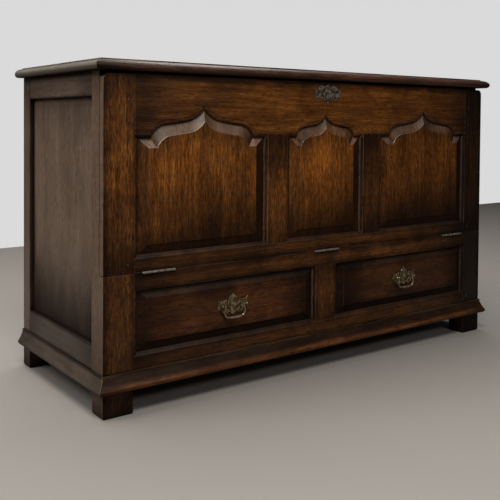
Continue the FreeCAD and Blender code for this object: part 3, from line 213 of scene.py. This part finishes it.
def lay_out(tree, grain, seed, boards):
    """The sockets that a board's pattern is drawn with: its place, the way it faces, and its noises."""
    wood = SimpleNamespace()
    coordinates = add(tree, "ShaderNodeTexCoord")
    wood.place = add(tree, "ShaderNodeSeparateXYZ", {0: coordinates.outputs["Object"]}).outputs
    wood.facing = add(tree, "ShaderNodeSeparateXYZ", {0: coordinates.outputs["Normal"]}).outputs
    wood.along, across, through = (wood.place[index] for index in AXES[grain])
    turned = add(tree, "ShaderNodeCombineXYZ", {0: wood.along, 1: across, 2: through}).outputs[0]
    moved = add(tree, "ShaderNodeVectorMath", {0: turned, 1: (seed * 1.7, seed * 0.9, seed * 0.37)},
                operation="ADD").outputs[0]
    if boards:
        axis, first, pitch = boards
        wood.board = calc(tree, "DIVIDE", calc(tree, "SUBTRACT", wood.place[axis], first), pitch)
        wood.number = calc(tree, "FLOOR", wood.board)
        apart = add(tree, "ShaderNodeCombineXYZ", {index: wood.number for index in range(3)}).outputs[0]
        moved = add(tree, "ShaderNodeVectorMath", {0: moved, 1: apart}, operation="ADD").outputs[0]
    wood.moved = moved
    wood.streaks = noise(tree, scaled(tree, moved, STREAKS), 4.0, 0.55, 0.3)
    fine = FIBRES_UPRIGHT if grain == "Z" else FIBRES_LEVEL
    wood.fibres = noise(tree, scaled(tree, moved, fine), 4.0, 0.66)
    wood.patches = noise(tree, scaled(tree, moved, PATCHES), 3.0, 0.55)
    wood.clouds = noise(tree, scaled(tree, coordinates.outputs["Object"], CLOUDS), 4.0, 0.6)
    wood.pores = spread(tree, noise(tree, scaled(tree, moved, PORES), 2.0, 0.5), 0.53, 0.63)
    up = wood.facing[2]
    wood.slant = calc(tree, "MULTIPLY", spread(tree, up, 0.07, 0.30),
                      spread(tree, up, 0.80, 0.99, 1.0, 0.15))
    # darker in corners, found by ambient occlusion: painted shade with some dirt
    near = add(tree, "ShaderNodeAmbientOcclusion", {"Distance": CORNER_REACH}, samples=8).outputs["AO"]
    wood.corner = spread(tree, near, 0.45, 0.97, 0.96, 0.0)
    return wood


def figured(tree, wood, kind, grain, tone, boards):
    """The colour of clean wood, with its streaks, fibres, pores and cloudy patches."""
    dark, middle, light = KINDS[kind]["tones"]
    uneven = KINDS[kind]["uneven"]
    share = FIBRE_SHARE_UPRIGHT if grain == "Z" and kind != "side" else FIBRE_SHARE
    wood.figure = calc(tree, "MULTIPLY_ADD", wood.streaks, STREAK_SHARE,
                       calc(tree, "MULTIPLY_ADD", wood.fibres, share, 0.5 - (STREAK_SHARE + share) / 2))
    ramp = add(tree, "ShaderNodeValToRGB", {0: wood.figure})
    ramp.color_ramp.elements[0].position = DARK_AT
    ramp.color_ramp.elements[0].color = dark
    ramp.color_ramp.elements[1].position = LIGHT_AT
    ramp.color_ramp.elements[1].color = light
    ramp.color_ramp.elements.new(MIDDLE_AT).color = middle
    colour = mixed(tree, calc(tree, "MULTIPLY", wood.pores, 0.6), ramp.outputs[0], dark)
    level = calc(tree, "MULTIPLY",
                 spread(tree, wood.patches, EVEN_LOW, EVEN_HIGH, (1 - 0.34 * uneven) * tone,
                        (1 + 0.2 * uneven) * tone),
                 spread(tree, wood.clouds, EVEN_LOW, EVEN_HIGH, 1 - 0.22 * uneven, 1 + 0.18 * uneven))
    if boards:
        turn = calc(tree, "FRACT", calc(tree, "MULTIPLY", wood.number, 0.618))
        level = calc(tree, "MULTIPLY", level, calc(tree, "MULTIPLY_ADD", turn, 0.34, 0.83))
    grey = add(tree, "ShaderNodeCombineXYZ", {index: level for index in range(3)}).outputs[0]
    return mixed(tree, 1.0, colour, grey, "MULTIPLY")


def darkening(tree, wood, look, grain, low, high, boards):
    """The darkening: painted shade, with some dirt, in corners, and darker towards the ends, the seams
    and the sides of each board.
    """
    grain_axis = AXES[grain][0]
    wood.from_low = calc(tree, "SUBTRACT", wood.along, low[grain_axis])
    from_high = calc(tree, "SUBTRACT", high[grain_axis], wood.along)
    wood.wander = calc(tree, "MULTIPLY_ADD", wood.patches, 0.12, -0.06)
    from_end = calc(tree, "ADD", calc(tree, "MINIMUM", wood.from_low, from_high), wood.wander)
    shade_and_dirt = calc(tree, "MAXIMUM", calc(tree, "MULTIPLY", wood.corner, 0.5 + 0.5 * look["finish"]),
                 spread(tree, from_end, 0.0, END_REACH, look["ends"], 0.0))
    if boards:
        pitch = boards[2]
        part = calc(tree, "FRACT", wood.board)
        from_seam = calc(tree, "MINIMUM", part, calc(tree, "SUBTRACT", 1.0, part))
        seam = spread(tree, calc(tree, "MULTIPLY", from_seam, pitch), *SEAM_REACH, 0.75, 0.0)
        shade_and_dirt = calc(tree, "MAXIMUM", shade_and_dirt, seam)
    if grain in look["face"]:
        axis = look["face"][grain]
        from_side = calc(tree, "MINIMUM", calc(tree, "SUBTRACT", wood.place[axis], low[axis]),
                         calc(tree, "SUBTRACT", high[axis], wood.place[axis]))
        waver = calc(tree, "SUBTRACT", wood.clouds, 0.5)
        from_side = calc(tree, "MULTIPLY_ADD", waver, look["rim"], from_side)
        undarkened = calc(tree, "MULTIPLY", calc(tree, "SUBTRACT", 1.0, shade_and_dirt),
                     spread(tree, from_side, 0.0, look["rim"], 0.28, 1.0))
        shade_and_dirt = calc(tree, "SUBTRACT", 1.0, undarkened)
    return shade_and_dirt


def sunken(tree, wood, look, shade_and_dirt):
    """More darkening: painted shade, with some dirt, in the hollows of the mouldings of the front, and
    darker on the posts' sides low down. Returns the darkening and how much of a post's side a place is."""
    side = wood.facing[0]
    depth = calc(tree, "SUBTRACT", wood.place[1], FACE_Y)
    sunk = calc(tree, "MULTIPLY", spread(tree, depth, *look["hollow"]),
                spread(tree, depth, *BEHIND_FACE, 0.90, 0.0))
    sunk = calc(tree, "MULTIPLY", sunk, calc(tree, "MULTIPLY_ADD", wood.slant, -0.75, 1.0))
    sunk = calc(tree, "MULTIPLY", sunk, spread(tree, side, -0.18, -0.04, 0.62, 1.0))
    flank = spread(tree, calc(tree, "ABSOLUTE", side), 0.80, 0.95)
    shade_and_dirt = calc(tree, "MULTIPLY", calc(tree, "MAXIMUM", shade_and_dirt, sunk),
                 calc(tree, "MULTIPLY_ADD", flank, -0.6, 1.0))
    low_down = calc(tree, "MULTIPLY", flank, spread(tree, wood.place[2], *FLANK_FOOT, 0.55, 0.0))
    return calc(tree, "MAXIMUM", shade_and_dirt, low_down), flank


def dust_and_sheen_share(tree, wood, look):
    """How much dust and a painted sheen grey a place: what slants up, most where it faces left and at the
    front's left end, and little in corners.
    """
    dust_sheen = calc(tree, "MULTIPLY", wood.slant,
                 spread(tree, wood.clouds, EVEN_LOW, EVEN_HIGH, 0.4 * look["dust_sheen"], look["dust_sheen"]))
    dust_sheen = calc(tree, "MULTIPLY", dust_sheen, spread(tree, wood.facing[0], -0.20, -0.03, 1.0, 0.34))
    dust_sheen = calc(tree, "MULTIPLY", dust_sheen, spread(tree, wood.facing[0], 0.0, 0.12, 1.0, 0.50))
    dust_sheen = calc(tree, "MULTIPLY", dust_sheen, spread(tree, wood.place[0], *SHEEN_LEFT, 1.0, 0.48))
    return calc(tree, "MULTIPLY", dust_sheen, calc(tree, "MULTIPLY_ADD", wood.corner, -0.9, 1.0))


def polish(tree, wood, look, shade_and_dirt, surface):
    """Roughness, gloss and the relief of the grain."""
    finish = look["finish"]
    rough = spread(tree, wood.streaks, EVEN_LOW, EVEN_HIGH, 0.64 - 0.34 * finish, 0.78 - 0.34 * finish)
    rough = calc(tree, "ADD", rough, calc(tree, "MULTIPLY", shade_and_dirt, 0.22), clamp=True)
    rough = calc(tree, "MULTIPLY_ADD", wood.slant, -0.3 * look["dust_sheen"], rough, clamp=True)
    tree.links.new(rough, surface.inputs["Roughness"])
    gloss = calc(tree, "MULTIPLY_ADD", wood.slant, 0.6 * look["dust_sheen"], 0.16)
    gloss = calc(tree, "MULTIPLY", gloss, calc(tree, "MULTIPLY_ADD", shade_and_dirt, -0.75, 1.0))
    tree.links.new(gloss, surface.inputs["Specular IOR Level"])
    wave = noise(tree, scaled(tree, wood.moved, SWELLS), 2.0, 0.4)
    swell = add(tree, "ShaderNodeBump", {"Height": wave, "Strength": 0.4, "Distance": 0.004})
    relief = calc(tree, "SUBTRACT", calc(tree, "MULTIPLY", wood.fibres, 0.6),
                  calc(tree, "MULTIPLY", wood.pores, 0.8))
    bump = add(tree, "ShaderNodeBump",
               {"Height": relief, "Strength": 0.4, "Distance": 0.0006, "Normal": swell.outputs[0]})
    tree.links.new(bump.outputs[0], surface.inputs["Normal"])


def oak(name, kind, grain, tone, seed, low, high, foot=0.0, boards=None):
    """Old oak.  grain is the axis it runs along, tone how light the board is, low and high the
    corners of its box, foot how far up the dark of its lower end reaches, and boards the axis, the
    start and the pitch of the boards where a node holds more than one."""
    look = KINDS[kind]
    material, tree, surface = new_material(name)
    wood = lay_out(tree, grain, seed, boards)
    colour = figured(tree, wood, kind, grain, tone, boards)

    shade_and_dirt = darkening(tree, wood, look, grain, low, high, boards)
    if look["hollow"]:
        shade_and_dirt, flank = sunken(tree, wood, look, shade_and_dirt)
        # side-facing places, mostly the posts' sides, take a paler grey: a painted sheen
        flank_sheen_colour = mixed(tree, spread(tree, wood.figure, 0.40, 0.60), FLANK_SHEEN_DARK, FLANK_SHEEN_LIGHT)
        colour = mixed(tree, calc(tree, "MULTIPLY", flank, 0.8), colour, flank_sheen_colour)
    # painted shade: the front turns darker towards its right end
    if kind == "front":
        colour = mixed(tree, spread(tree, wood.place[0], *DARKER_RIGHT, 0.0, 0.42), colour, DARK_SHADE_AND_DIRT)
    # painted shade on the upper part of the base moulding
    if kind == "moulding":
        shade_and_dirt = calc(tree, "MAXIMUM", shade_and_dirt, spread(tree, wood.place[2], *MOULDING_TOP, 0.0, 0.85))
    if foot:
        low_shade = spread(tree, calc(tree, "ADD", wood.from_low, wood.wander), 0.0, foot, 0.90, 0.0)
        shade_and_dirt = calc(tree, "MAXIMUM", shade_and_dirt, low_shade)
    # painted reflection: the lid's left end turns paler
    if kind == "lid":
        colour = mixed(tree, spread(tree, wood.facing[0], -0.75, -0.35, 0.62, 0.0), colour, LID_END_REFLECTION)
    colour = mixed(tree, shade_and_dirt, colour, DARK_SHADE_AND_DIRT)

    # edges are rubbed paler, or darker round the fields and drawers
    edge = calc(tree, "MULTIPLY", edge_share(tree, EDGE_MASK_RADIUS, 0.78, 0.99),
                spread(tree, wood.streaks, 0.4, 0.62))
    # the pale rubbed edges, on the lid also a painted highlight
    if look["wear_and_highlight"]:
        colour = mixed(tree, calc(tree, "MULTIPLY", edge, look["wear_and_highlight"]), colour, WEAR_AND_HIGHLIGHT)
    elif look["finish"]:
        colour = mixed(tree, calc(tree, "MULTIPLY", edge, 0.6), colour, DARK_SHADE_AND_DIRT)
    colour = mixed(tree, dust_and_sheen_share(tree, wood, look), colour, DUST_AND_SHEEN)
    tree.links.new(colour, surface.inputs["Base Color"])
    polish(tree, wood, look, shade_and_dirt, surface)
    return material


# ---------------------------------------------------------------- metals

BLOTCHES = (90.0, 90.0, 90.0)   # scales of the noises
FINE_PITS = (900.0, 900.0, 900.0)
METAL_CORNER_REACH = 0.006
RUBBED_RADIUS = 0.0010


def metal(name, dull, bright, roughness, metallic=1.0):
    """Old metal, dull in its corners and blotches, bright where it is rubbed."""
    material, tree, surface = new_material(name)
    place = add(tree, "ShaderNodeTexCoord").outputs["Object"]
    blotches = noise(tree, scaled(tree, place, BLOTCHES), 5.0, 0.6)
    pits = noise(tree, scaled(tree, place, FINE_PITS), 3.0, 0.5)
    near = add(tree, "ShaderNodeAmbientOcclusion", {"Distance": METAL_CORNER_REACH}, samples=6)
    rubbed = edge_share(tree, RUBBED_RADIUS, 0.80, 0.99)
    share = calc(tree, "ADD", spread(tree, blotches, 0.40, 0.74, 0.0, 0.35), rubbed, clamp=True)
    share = calc(tree, "MULTIPLY", share, spread(tree, near.outputs["AO"], 0.3, 0.9))
    tree.links.new(mixed(tree, share, dull, bright), surface.inputs["Base Color"])
    rough = spread(tree, blotches, EVEN_LOW, EVEN_HIGH, roughness + 0.14, roughness - 0.06)
    tree.links.new(rough, surface.inputs["Roughness"])
    surface.inputs["Metallic"].default_value = metallic
    height = calc(tree, "MULTIPLY_ADD", pits, 0.3, blotches)
    bump = add(tree, "ShaderNodeBump", {"Height": height, "Strength": 0.4, "Distance": 0.0004})
    tree.links.new(bump.outputs[0], surface.inputs["Normal"])
    return material


# ---------------------------------------------------------------- what each CAD node looks like

# the grain's axis of each oak node, and how light its board is; the low tones of the front's
# right-hand boards are painted shade
OAK_NODES = {
    "front": {
        "front_mid_rail": ("X", 0.72), "front_bottom_rail": ("X", 0.56), "drawer_muntin": ("Z", 0.72),
        "front_left_post": ("Z", 0.66), "front_right_post": ("Z", 0.08), "fall_top_rail": ("X", 0.96),
        "fall_bottom_rail": ("X", 0.60), "fall_left_stile": ("Z", 0.96),
        "fall_right_stile": ("Z", 0.24), "fall_left_muntin": ("Z", 1.05),
        "fall_right_muntin": ("Z", 0.50),
    },
    "moulding": {
        "front_base_moulding": ("X", 0.72),
    },
    "field": {
        "fall_left_panel": ("Z", 0.98), "fall_centre_panel": ("Z", 0.98),
        "fall_right_panel": ("Z", 0.60),
    },
    "drawer": {
        "drawer_left_front": ("X", 0.80), "drawer_right_front": ("X", 0.60),
    },
    "side": {
        "rear_left_post": ("Z", 0.84), "rear_right_post": ("Z", 0.84), "left_top_rail": ("Y", 0.86),
        "right_top_rail": ("Y", 0.86), "left_bottom_rail": ("Y", 0.40),
        "right_bottom_rail": ("Y", 0.40), "left_side_panel": ("Z", 1.08),
        "right_side_panel": ("Z", 1.08), "left_base_moulding": ("Y", 0.42),
        "right_base_moulding": ("Y", 0.42),
    },
    "lid": {
        "lid_front_board": ("X", 1.00), "lid_rear_board": ("X", 0.90),
    },
    "inner": {
        "front_top_rail": ("X", 0.80), "back_top_rail": ("X", 0.90), "back_mid_rail": ("X", 0.95),
        "back_bottom_rail": ("X", 0.90), "back_boards": ("X", 0.92), "floor_boards": ("X", 1.00),
        "floor_bearers": ("Y", 0.90), "drawer_runners": ("Y", 0.90),
        "drawer_left_outer_side": ("Y", 1.00), "drawer_left_inner_side": ("Y", 1.00),
        "drawer_right_outer_side": ("Y", 1.04), "drawer_right_inner_side": ("Y", 0.98),
        "drawer_left_back": ("X", 0.95), "drawer_right_back": ("X", 1.00),
        "drawer_left_bottom": ("X", 0.90), "drawer_right_bottom": ("X", 0.95),
    },
}
# how far up the dark of a node's lower end reaches
FEET = {
    "fall_left_panel": 0.24, "fall_centre_panel": 0.24, "fall_right_panel": 0.24,
    "left_side_panel": 0.28, "right_side_panel": 0.28,
    "front_left_post": 0.10, "front_right_post": 0.10, "rear_left_post": 0.10, "rear_right_post": 0.10,
}
BACK_BOARD_PITCH, BACK_BOARD_FIRST = 0.172925, 0.0895
FLOOR_BOARD_PITCH, FLOOR_BOARD_FIRST = 0.1365, -0.2203
# nodes that hold several boards: the axis across the boards, where the first starts, their pitch
BOARDS = {"back_boards": (2, BACK_BOARD_FIRST, BACK_BOARD_PITCH),
          "floor_boards": (1, FLOOR_BOARD_FIRST, FLOOR_BOARD_PITCH)}
IRON = ("lock_case", "lock_bolt", "lock_strike_plate")
HINGES = ("fall_hinge_fixed_leaves", "fall_hinge_moving_leaves", "lid_hinge_fixed_leaves",
          "lid_hinge_moving_leaves", "hinge_pins")
BAILS = ("drawer_left_bail", "drawer_right_bail")
IRON_EDGE, HINGE_EDGE, BAIL_EDGE, ESCUTCHEON_EDGE, BRASS_EDGE = 0.0003, 0.00015, 0.0002, 0.00025, 0.00035
WELD_WITHIN = 2e-6
FLAT_WITHIN = math.radians(0.6)
SHARP_ABOVE = math.radians(35)


def dress(name, material, edge):
    """Give a CAD node its material, and soften its edges by a bevel of that width."""
    node = NODES[name]
    node.data.materials.clear()
    node.data.materials.append(material)
    weld = node.modifiers.new("weld", "WELD")
    weld.merge_threshold = WELD_WITHIN
    flat = node.modifiers.new("flat", "DECIMATE")
    flat.decimate_type = "DISSOLVE"
    flat.angle_limit = FLAT_WITHIN
    bevel = node.modifiers.new("bevel", "BEVEL")
    bevel.width = edge
    bevel.segments = 3
    bevel.limit_method = "ANGLE"
    bevel.angle_limit = SHARP_ABOVE
    bevel.use_clamp_overlap = True
    bevel.harden_normals = True
    node.modifiers.new("normals", "WEIGHTED_NORMAL").keep_sharp = True


def dress_nodes():
    seed = 0
    for kind, nodes in OAK_NODES.items():
        for name, (grain, tone) in nodes.items():
            seed += 1
            material = oak("oak_" + name, kind, grain, tone, seed, *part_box(name), FEET.get(name, 0.0),
                           BOARDS.get(name))
            dress(name, material, KINDS[kind]["edge"])
    iron = metal("iron_dark", rgb(44, 40, 37), rgb(96, 90, 84), 0.5, 0.85)
    rubbed = metal("brass_dull", rgb(102, 92, 78), rgb(226, 218, 204), 0.36, 0.8)
    blackened = metal("brass_blackened", rgb(48, 39, 32), rgb(226, 212, 198), 0.30, 0.6)
    handled = metal("brass_handled", rgb(124, 106, 74), rgb(246, 230, 196), 0.26, 0.85)
    brass = metal("brass_aged", rgb(76, 62, 37), rgb(226, 208, 168), 0.30, 0.8)
    for name in IRON:
        dress(name, iron, IRON_EDGE)
    for name in HINGES:
        dress(name, rubbed, HINGE_EDGE)
    for name in BAILS:
        dress(name, handled, BAIL_EDGE)
    dress("escutcheon", blackened, ESCUTCHEON_EDGE)
    for name in NODES:
        if not NODES[name].modifiers:
            dress(name, brass, BRASS_EDGE)


# ---------------------------------------------------------------- pegs, nails and screws

PEG_R = 0.0036
PEG_PROUD = 0.0005
NAIL_R = 0.0042
NAIL_PROUD = 0.0010
SCREW_R = 0.0030
SCREW_PROUD = 0.00012
SLOT_W = 0.0007
BACK_Y = 0.26405                # back face of the chest
SIDE_X = 0.700
FRONT, BACK, UP, DOWN = (0, -1, 0), (0, 1, 0), (0, 0, 1), (0, 0, -1)
HEAD_RINGS = ((1.0, -0.6), (1.0, 0.45), (0.84, 0.85), (0.45, 1.0))      # share of the radius, lift

# each fastener's place and the way it faces; pegs are where a tenon is, nails where a board ends
STILE_XS = (-0.634, 0.634)
MUNTIN_XS = (-0.17925, 0.17925)
SIDE_TENON_YS = (-0.206, 0.227)
BACK_TENON_XS = (-0.6205, 0.6205)
BACK_TENON_Z = 0.804
BACK_NAIL_XS = (-0.637, 0.0, 0.637)
BACK_NAIL_START, BACK_NAIL_PITCH = 0.090, 0.1729
FLOOR_NAIL_XS = (-0.640, 0.0, 0.640)
FLOOR_NAIL_START = -0.22
FLOOR_TOP_Z = 0.340
FALL_PEGS = ([(x, FACE_Y, z, FRONT) for x in STILE_XS for z in (0.362, 0.702, 0.758)]
             + [(x, FACE_Y, z, FRONT) for x in MUNTIN_XS for z in (0.362, 0.690)])
CARCASS_PEGS = ([(x, FACE_Y, z, FRONT) for x in STILE_XS for z in (0.1275, 0.3185)]
                + [(0.0, FACE_Y, z, FRONT) for z in (0.128, 0.307)]
                + [(side * SIDE_X, y, z, (side, 0, 0)) for side in (-1, 1) for y in SIDE_TENON_YS
                   for z in (0.137, 0.797)]
                + [(x, BACK_Y, BACK_TENON_Z, BACK) for x in BACK_TENON_XS])
BACK_NAILS = [(x, BACK_Y, BACK_NAIL_START + BACK_NAIL_PITCH * (board + share), BACK)
              for x in BACK_NAIL_XS for board in range(4) for share in (0.22, 0.76)]
FLOOR_NAILS = [(x, FLOOR_NAIL_START + FLOOR_BOARD_PITCH * board + along, FLOOR_TOP_Z, UP)
               for x in FLOOR_NAIL_XS for board in range(3) for along in (0.035, 0.105)]

HINGE_XS = (-0.552, 0.0, 0.552)
SCREW_XS = (-0.031, 0.0, 0.031)
FALL_SCREW_Y = FACE_Y + 0.0105
LID_SCREW_Y = BACK_Y - 0.0090
FALL_MOVING_LEAF_Z, FALL_FIXED_LEAF_Z = 0.3408, 0.3402
LID_MOVING_LEAF_Z, LID_FIXED_LEAF_Z = 0.82715, 0.82655


def hinge_screws(y, z, facing):
    return [(x + along, y, z, facing) for x in HINGE_XS for along in SCREW_XS]


def new_piece(name, points, faces, material, body):
    mesh = bpy.data.meshes.new(name)
    mesh.from_pydata(points, [], faces)
    mesh.materials.append(material)
    piece = bpy.data.objects.new(name, mesh)
    bpy.context.scene.collection.objects.link(piece)
    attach(piece, body)
    return piece


def across(facing):
    """Two directions at right angles to the way a head faces, in the order that turns about it."""
    out = Vector(facing)
    first = out.orthogonal().normalized()
    return out, first, out.cross(first)


def domed_heads(name, places, radius, proud, material, body, sides=14):
    """Pegs or nails, seen from outside as low domes, in one mesh."""
    points = []
    faces = []
    for x, y, z, facing in places:
        out, first, second = across(facing)
        start = len(points)
        for share, lift in HEAD_RINGS:
            for step in range(sides):
                turn = 2 * math.pi * step / sides
                spoke = first * math.cos(turn) + second * math.sin(turn)
                points.append(Vector((x, y, z)) + out * proud * lift + spoke * radius * share)
        for ring in range(len(HEAD_RINGS) - 1):
            for step in range(sides):
                low = start + ring * sides
                after = (step + 1) % sides
                faces.append((low + step, low + after, low + sides + after, low + sides + step))
        faces.append(tuple(range(start + (len(HEAD_RINGS) - 1) * sides, start + len(HEAD_RINGS) * sides)))
    piece = new_piece(name, points, faces, material, body)
    for face in piece.data.polygons:
        face.use_smooth = len(face.vertices) == 4


def slotted_heads(name, places, material, body, sides=9):
    """Flat screw heads in one mesh, each as the two halves beside its slot."""
    points = []
    faces = []
    edge = math.asin(SLOT_W / 2 / SCREW_R)
    for x, y, z, facing in places:
        out, first, second = across(facing)
        for half in (0, 1):
            start = len(points)
            for lift in (-1.0, 1.0):
                for step in range(sides):
                    turn = half * math.pi + edge + (math.pi - 2 * edge) * step / (sides - 1)
                    spoke = first * math.cos(turn) + second * math.sin(turn)
                    points.append(Vector((x, y, z)) + out * SCREW_PROUD * lift + spoke * SCREW_R)
            for step in range(sides):
                after = (step + 1) % sides
                faces.append((start + step, start + after, start + sides + after, start + sides + step))
            faces.append(tuple(range(start + sides, start + 2 * sides)))
    new_piece(name, points, faces, material, body)


def add_fasteners():
    peg_wood = oak("oak_pegs", "front", "Y", 0.42, 71, (-1.0, -1.0, -1.0), (1.0, 1.0, 1.0))
    nail_iron = metal("iron_nails", rgb(40, 35, 31), rgb(88, 80, 72), 0.55, 0.8)
    screw_brass = metal("brass_screws", rgb(96, 84, 58), rgb(186, 170, 132), 0.36)
    domed_heads("pegs_fall", FALL_PEGS, PEG_R, PEG_PROUD, peg_wood, "fall_front")
    domed_heads("pegs_carcass", CARCASS_PEGS, PEG_R, PEG_PROUD, peg_wood, "carcass")
    domed_heads("nails_back", BACK_NAILS, NAIL_R, NAIL_PROUD, nail_iron, "carcass")
    domed_heads("nails_floor", FLOOR_NAILS, NAIL_R, NAIL_PROUD, nail_iron, "carcass")
    for name, y, z, facing, body in (
            ("screws_fall_moving", FALL_SCREW_Y, FALL_MOVING_LEAF_Z, DOWN, "fall_front"),
            ("screws_fall_fixed", FALL_SCREW_Y, FALL_FIXED_LEAF_Z, UP, "carcass"),
            ("screws_lid_moving", LID_SCREW_Y, LID_MOVING_LEAF_Z, DOWN, "lid"),
            ("screws_lid_fixed", LID_SCREW_Y, LID_FIXED_LEAF_Z, UP, "carcass")):
        slotted_heads(name, hinge_screws(y, z, facing), screw_brass, body)


# ---------------------------------------------------------------- studio

FLOOR_TONE = (0.184, 0.166, 0.147, 1.0)
WALL_LEVEL = 0.70               # the wall, as the camera sees it
FILL_LEVEL = 0.045              # the room's light on the chest
WALL_Y = 2.3
FLOOR_HALF = 6.0


def make_stage():
    """A plain floor that ends at the foot of the wall."""
    points = [(-FLOOR_HALF, -FLOOR_HALF, 0), (FLOOR_HALF, -FLOOR_HALF, 0), (FLOOR_HALF, WALL_Y, 0),
              (-FLOOR_HALF, WALL_Y, 0)]
    mesh = bpy.data.meshes.new("floor")
    mesh.from_pydata(points, [], [(0, 1, 2, 3)])
    stage = bpy.data.objects.new("floor", mesh)
    bpy.context.scene.collection.objects.link(stage)
    material, tree, surface = new_material("floor_paint")
    surface.inputs["Base Color"].default_value = FLOOR_TONE
    surface.inputs["Roughness"].default_value = 0.7
    mesh.materials.append(material)


def softbox(name, at, aim, width, height, watts, tint=(1.0, 1.0, 1.0)):
    data = bpy.data.lights.new(name, "AREA")
    data.shape = "RECTANGLE"
    data.size = width
    data.size_y = height
    data.energy = watts
    data.color = tint
    lamp = bpy.data.objects.new(name, data)
    bpy.context.scene.collection.objects.link(lamp)
    lamp.location = at
    lamp.rotation_euler = (Vector(aim) - Vector(at)).to_track_quat("-Z", "Y").to_euler()


def light_studio():
    softbox("key", (-1.4, -1.9, 3.1), (-0.2, 0, 0.4), 1.2, 1.0, 112, (1.0, 0.99, 0.97))
    softbox("front_window", (-0.15, -3.3, 1.93), (-0.3, 0, 0.6), 0.7, 0.5, 28)
    softbox("ceiling", (0.0, 0.9, 3.4), (0, 0.1, 0.4), 4.2, 2.8, 170)
    softbox("window_left", (-3.0, 0.5, 2.6), (-0.7, 0, 0.4), 1.6, 1.4, 76, (1.0, 0.98, 0.96))
    world = bpy.data.worlds.new("studio")
    world.use_nodes = True
    tree = world.node_tree
    seen = add(tree, "ShaderNodeLightPath").outputs["Is Camera Ray"]
    background = tree.nodes["Background"]
    background.inputs["Color"].default_value = (1.0, 1.0, 1.0, 1.0)
    tree.links.new(calc(tree, "MULTIPLY_ADD", seen, WALL_LEVEL - FILL_LEVEL, FILL_LEVEL),
                   background.inputs["Strength"])
    bpy.context.scene.world = world
    bpy.context.scene.view_settings.view_transform = "Standard"


make_camera()
dress_nodes()
add_fasteners()
make_stage()
light_studio()
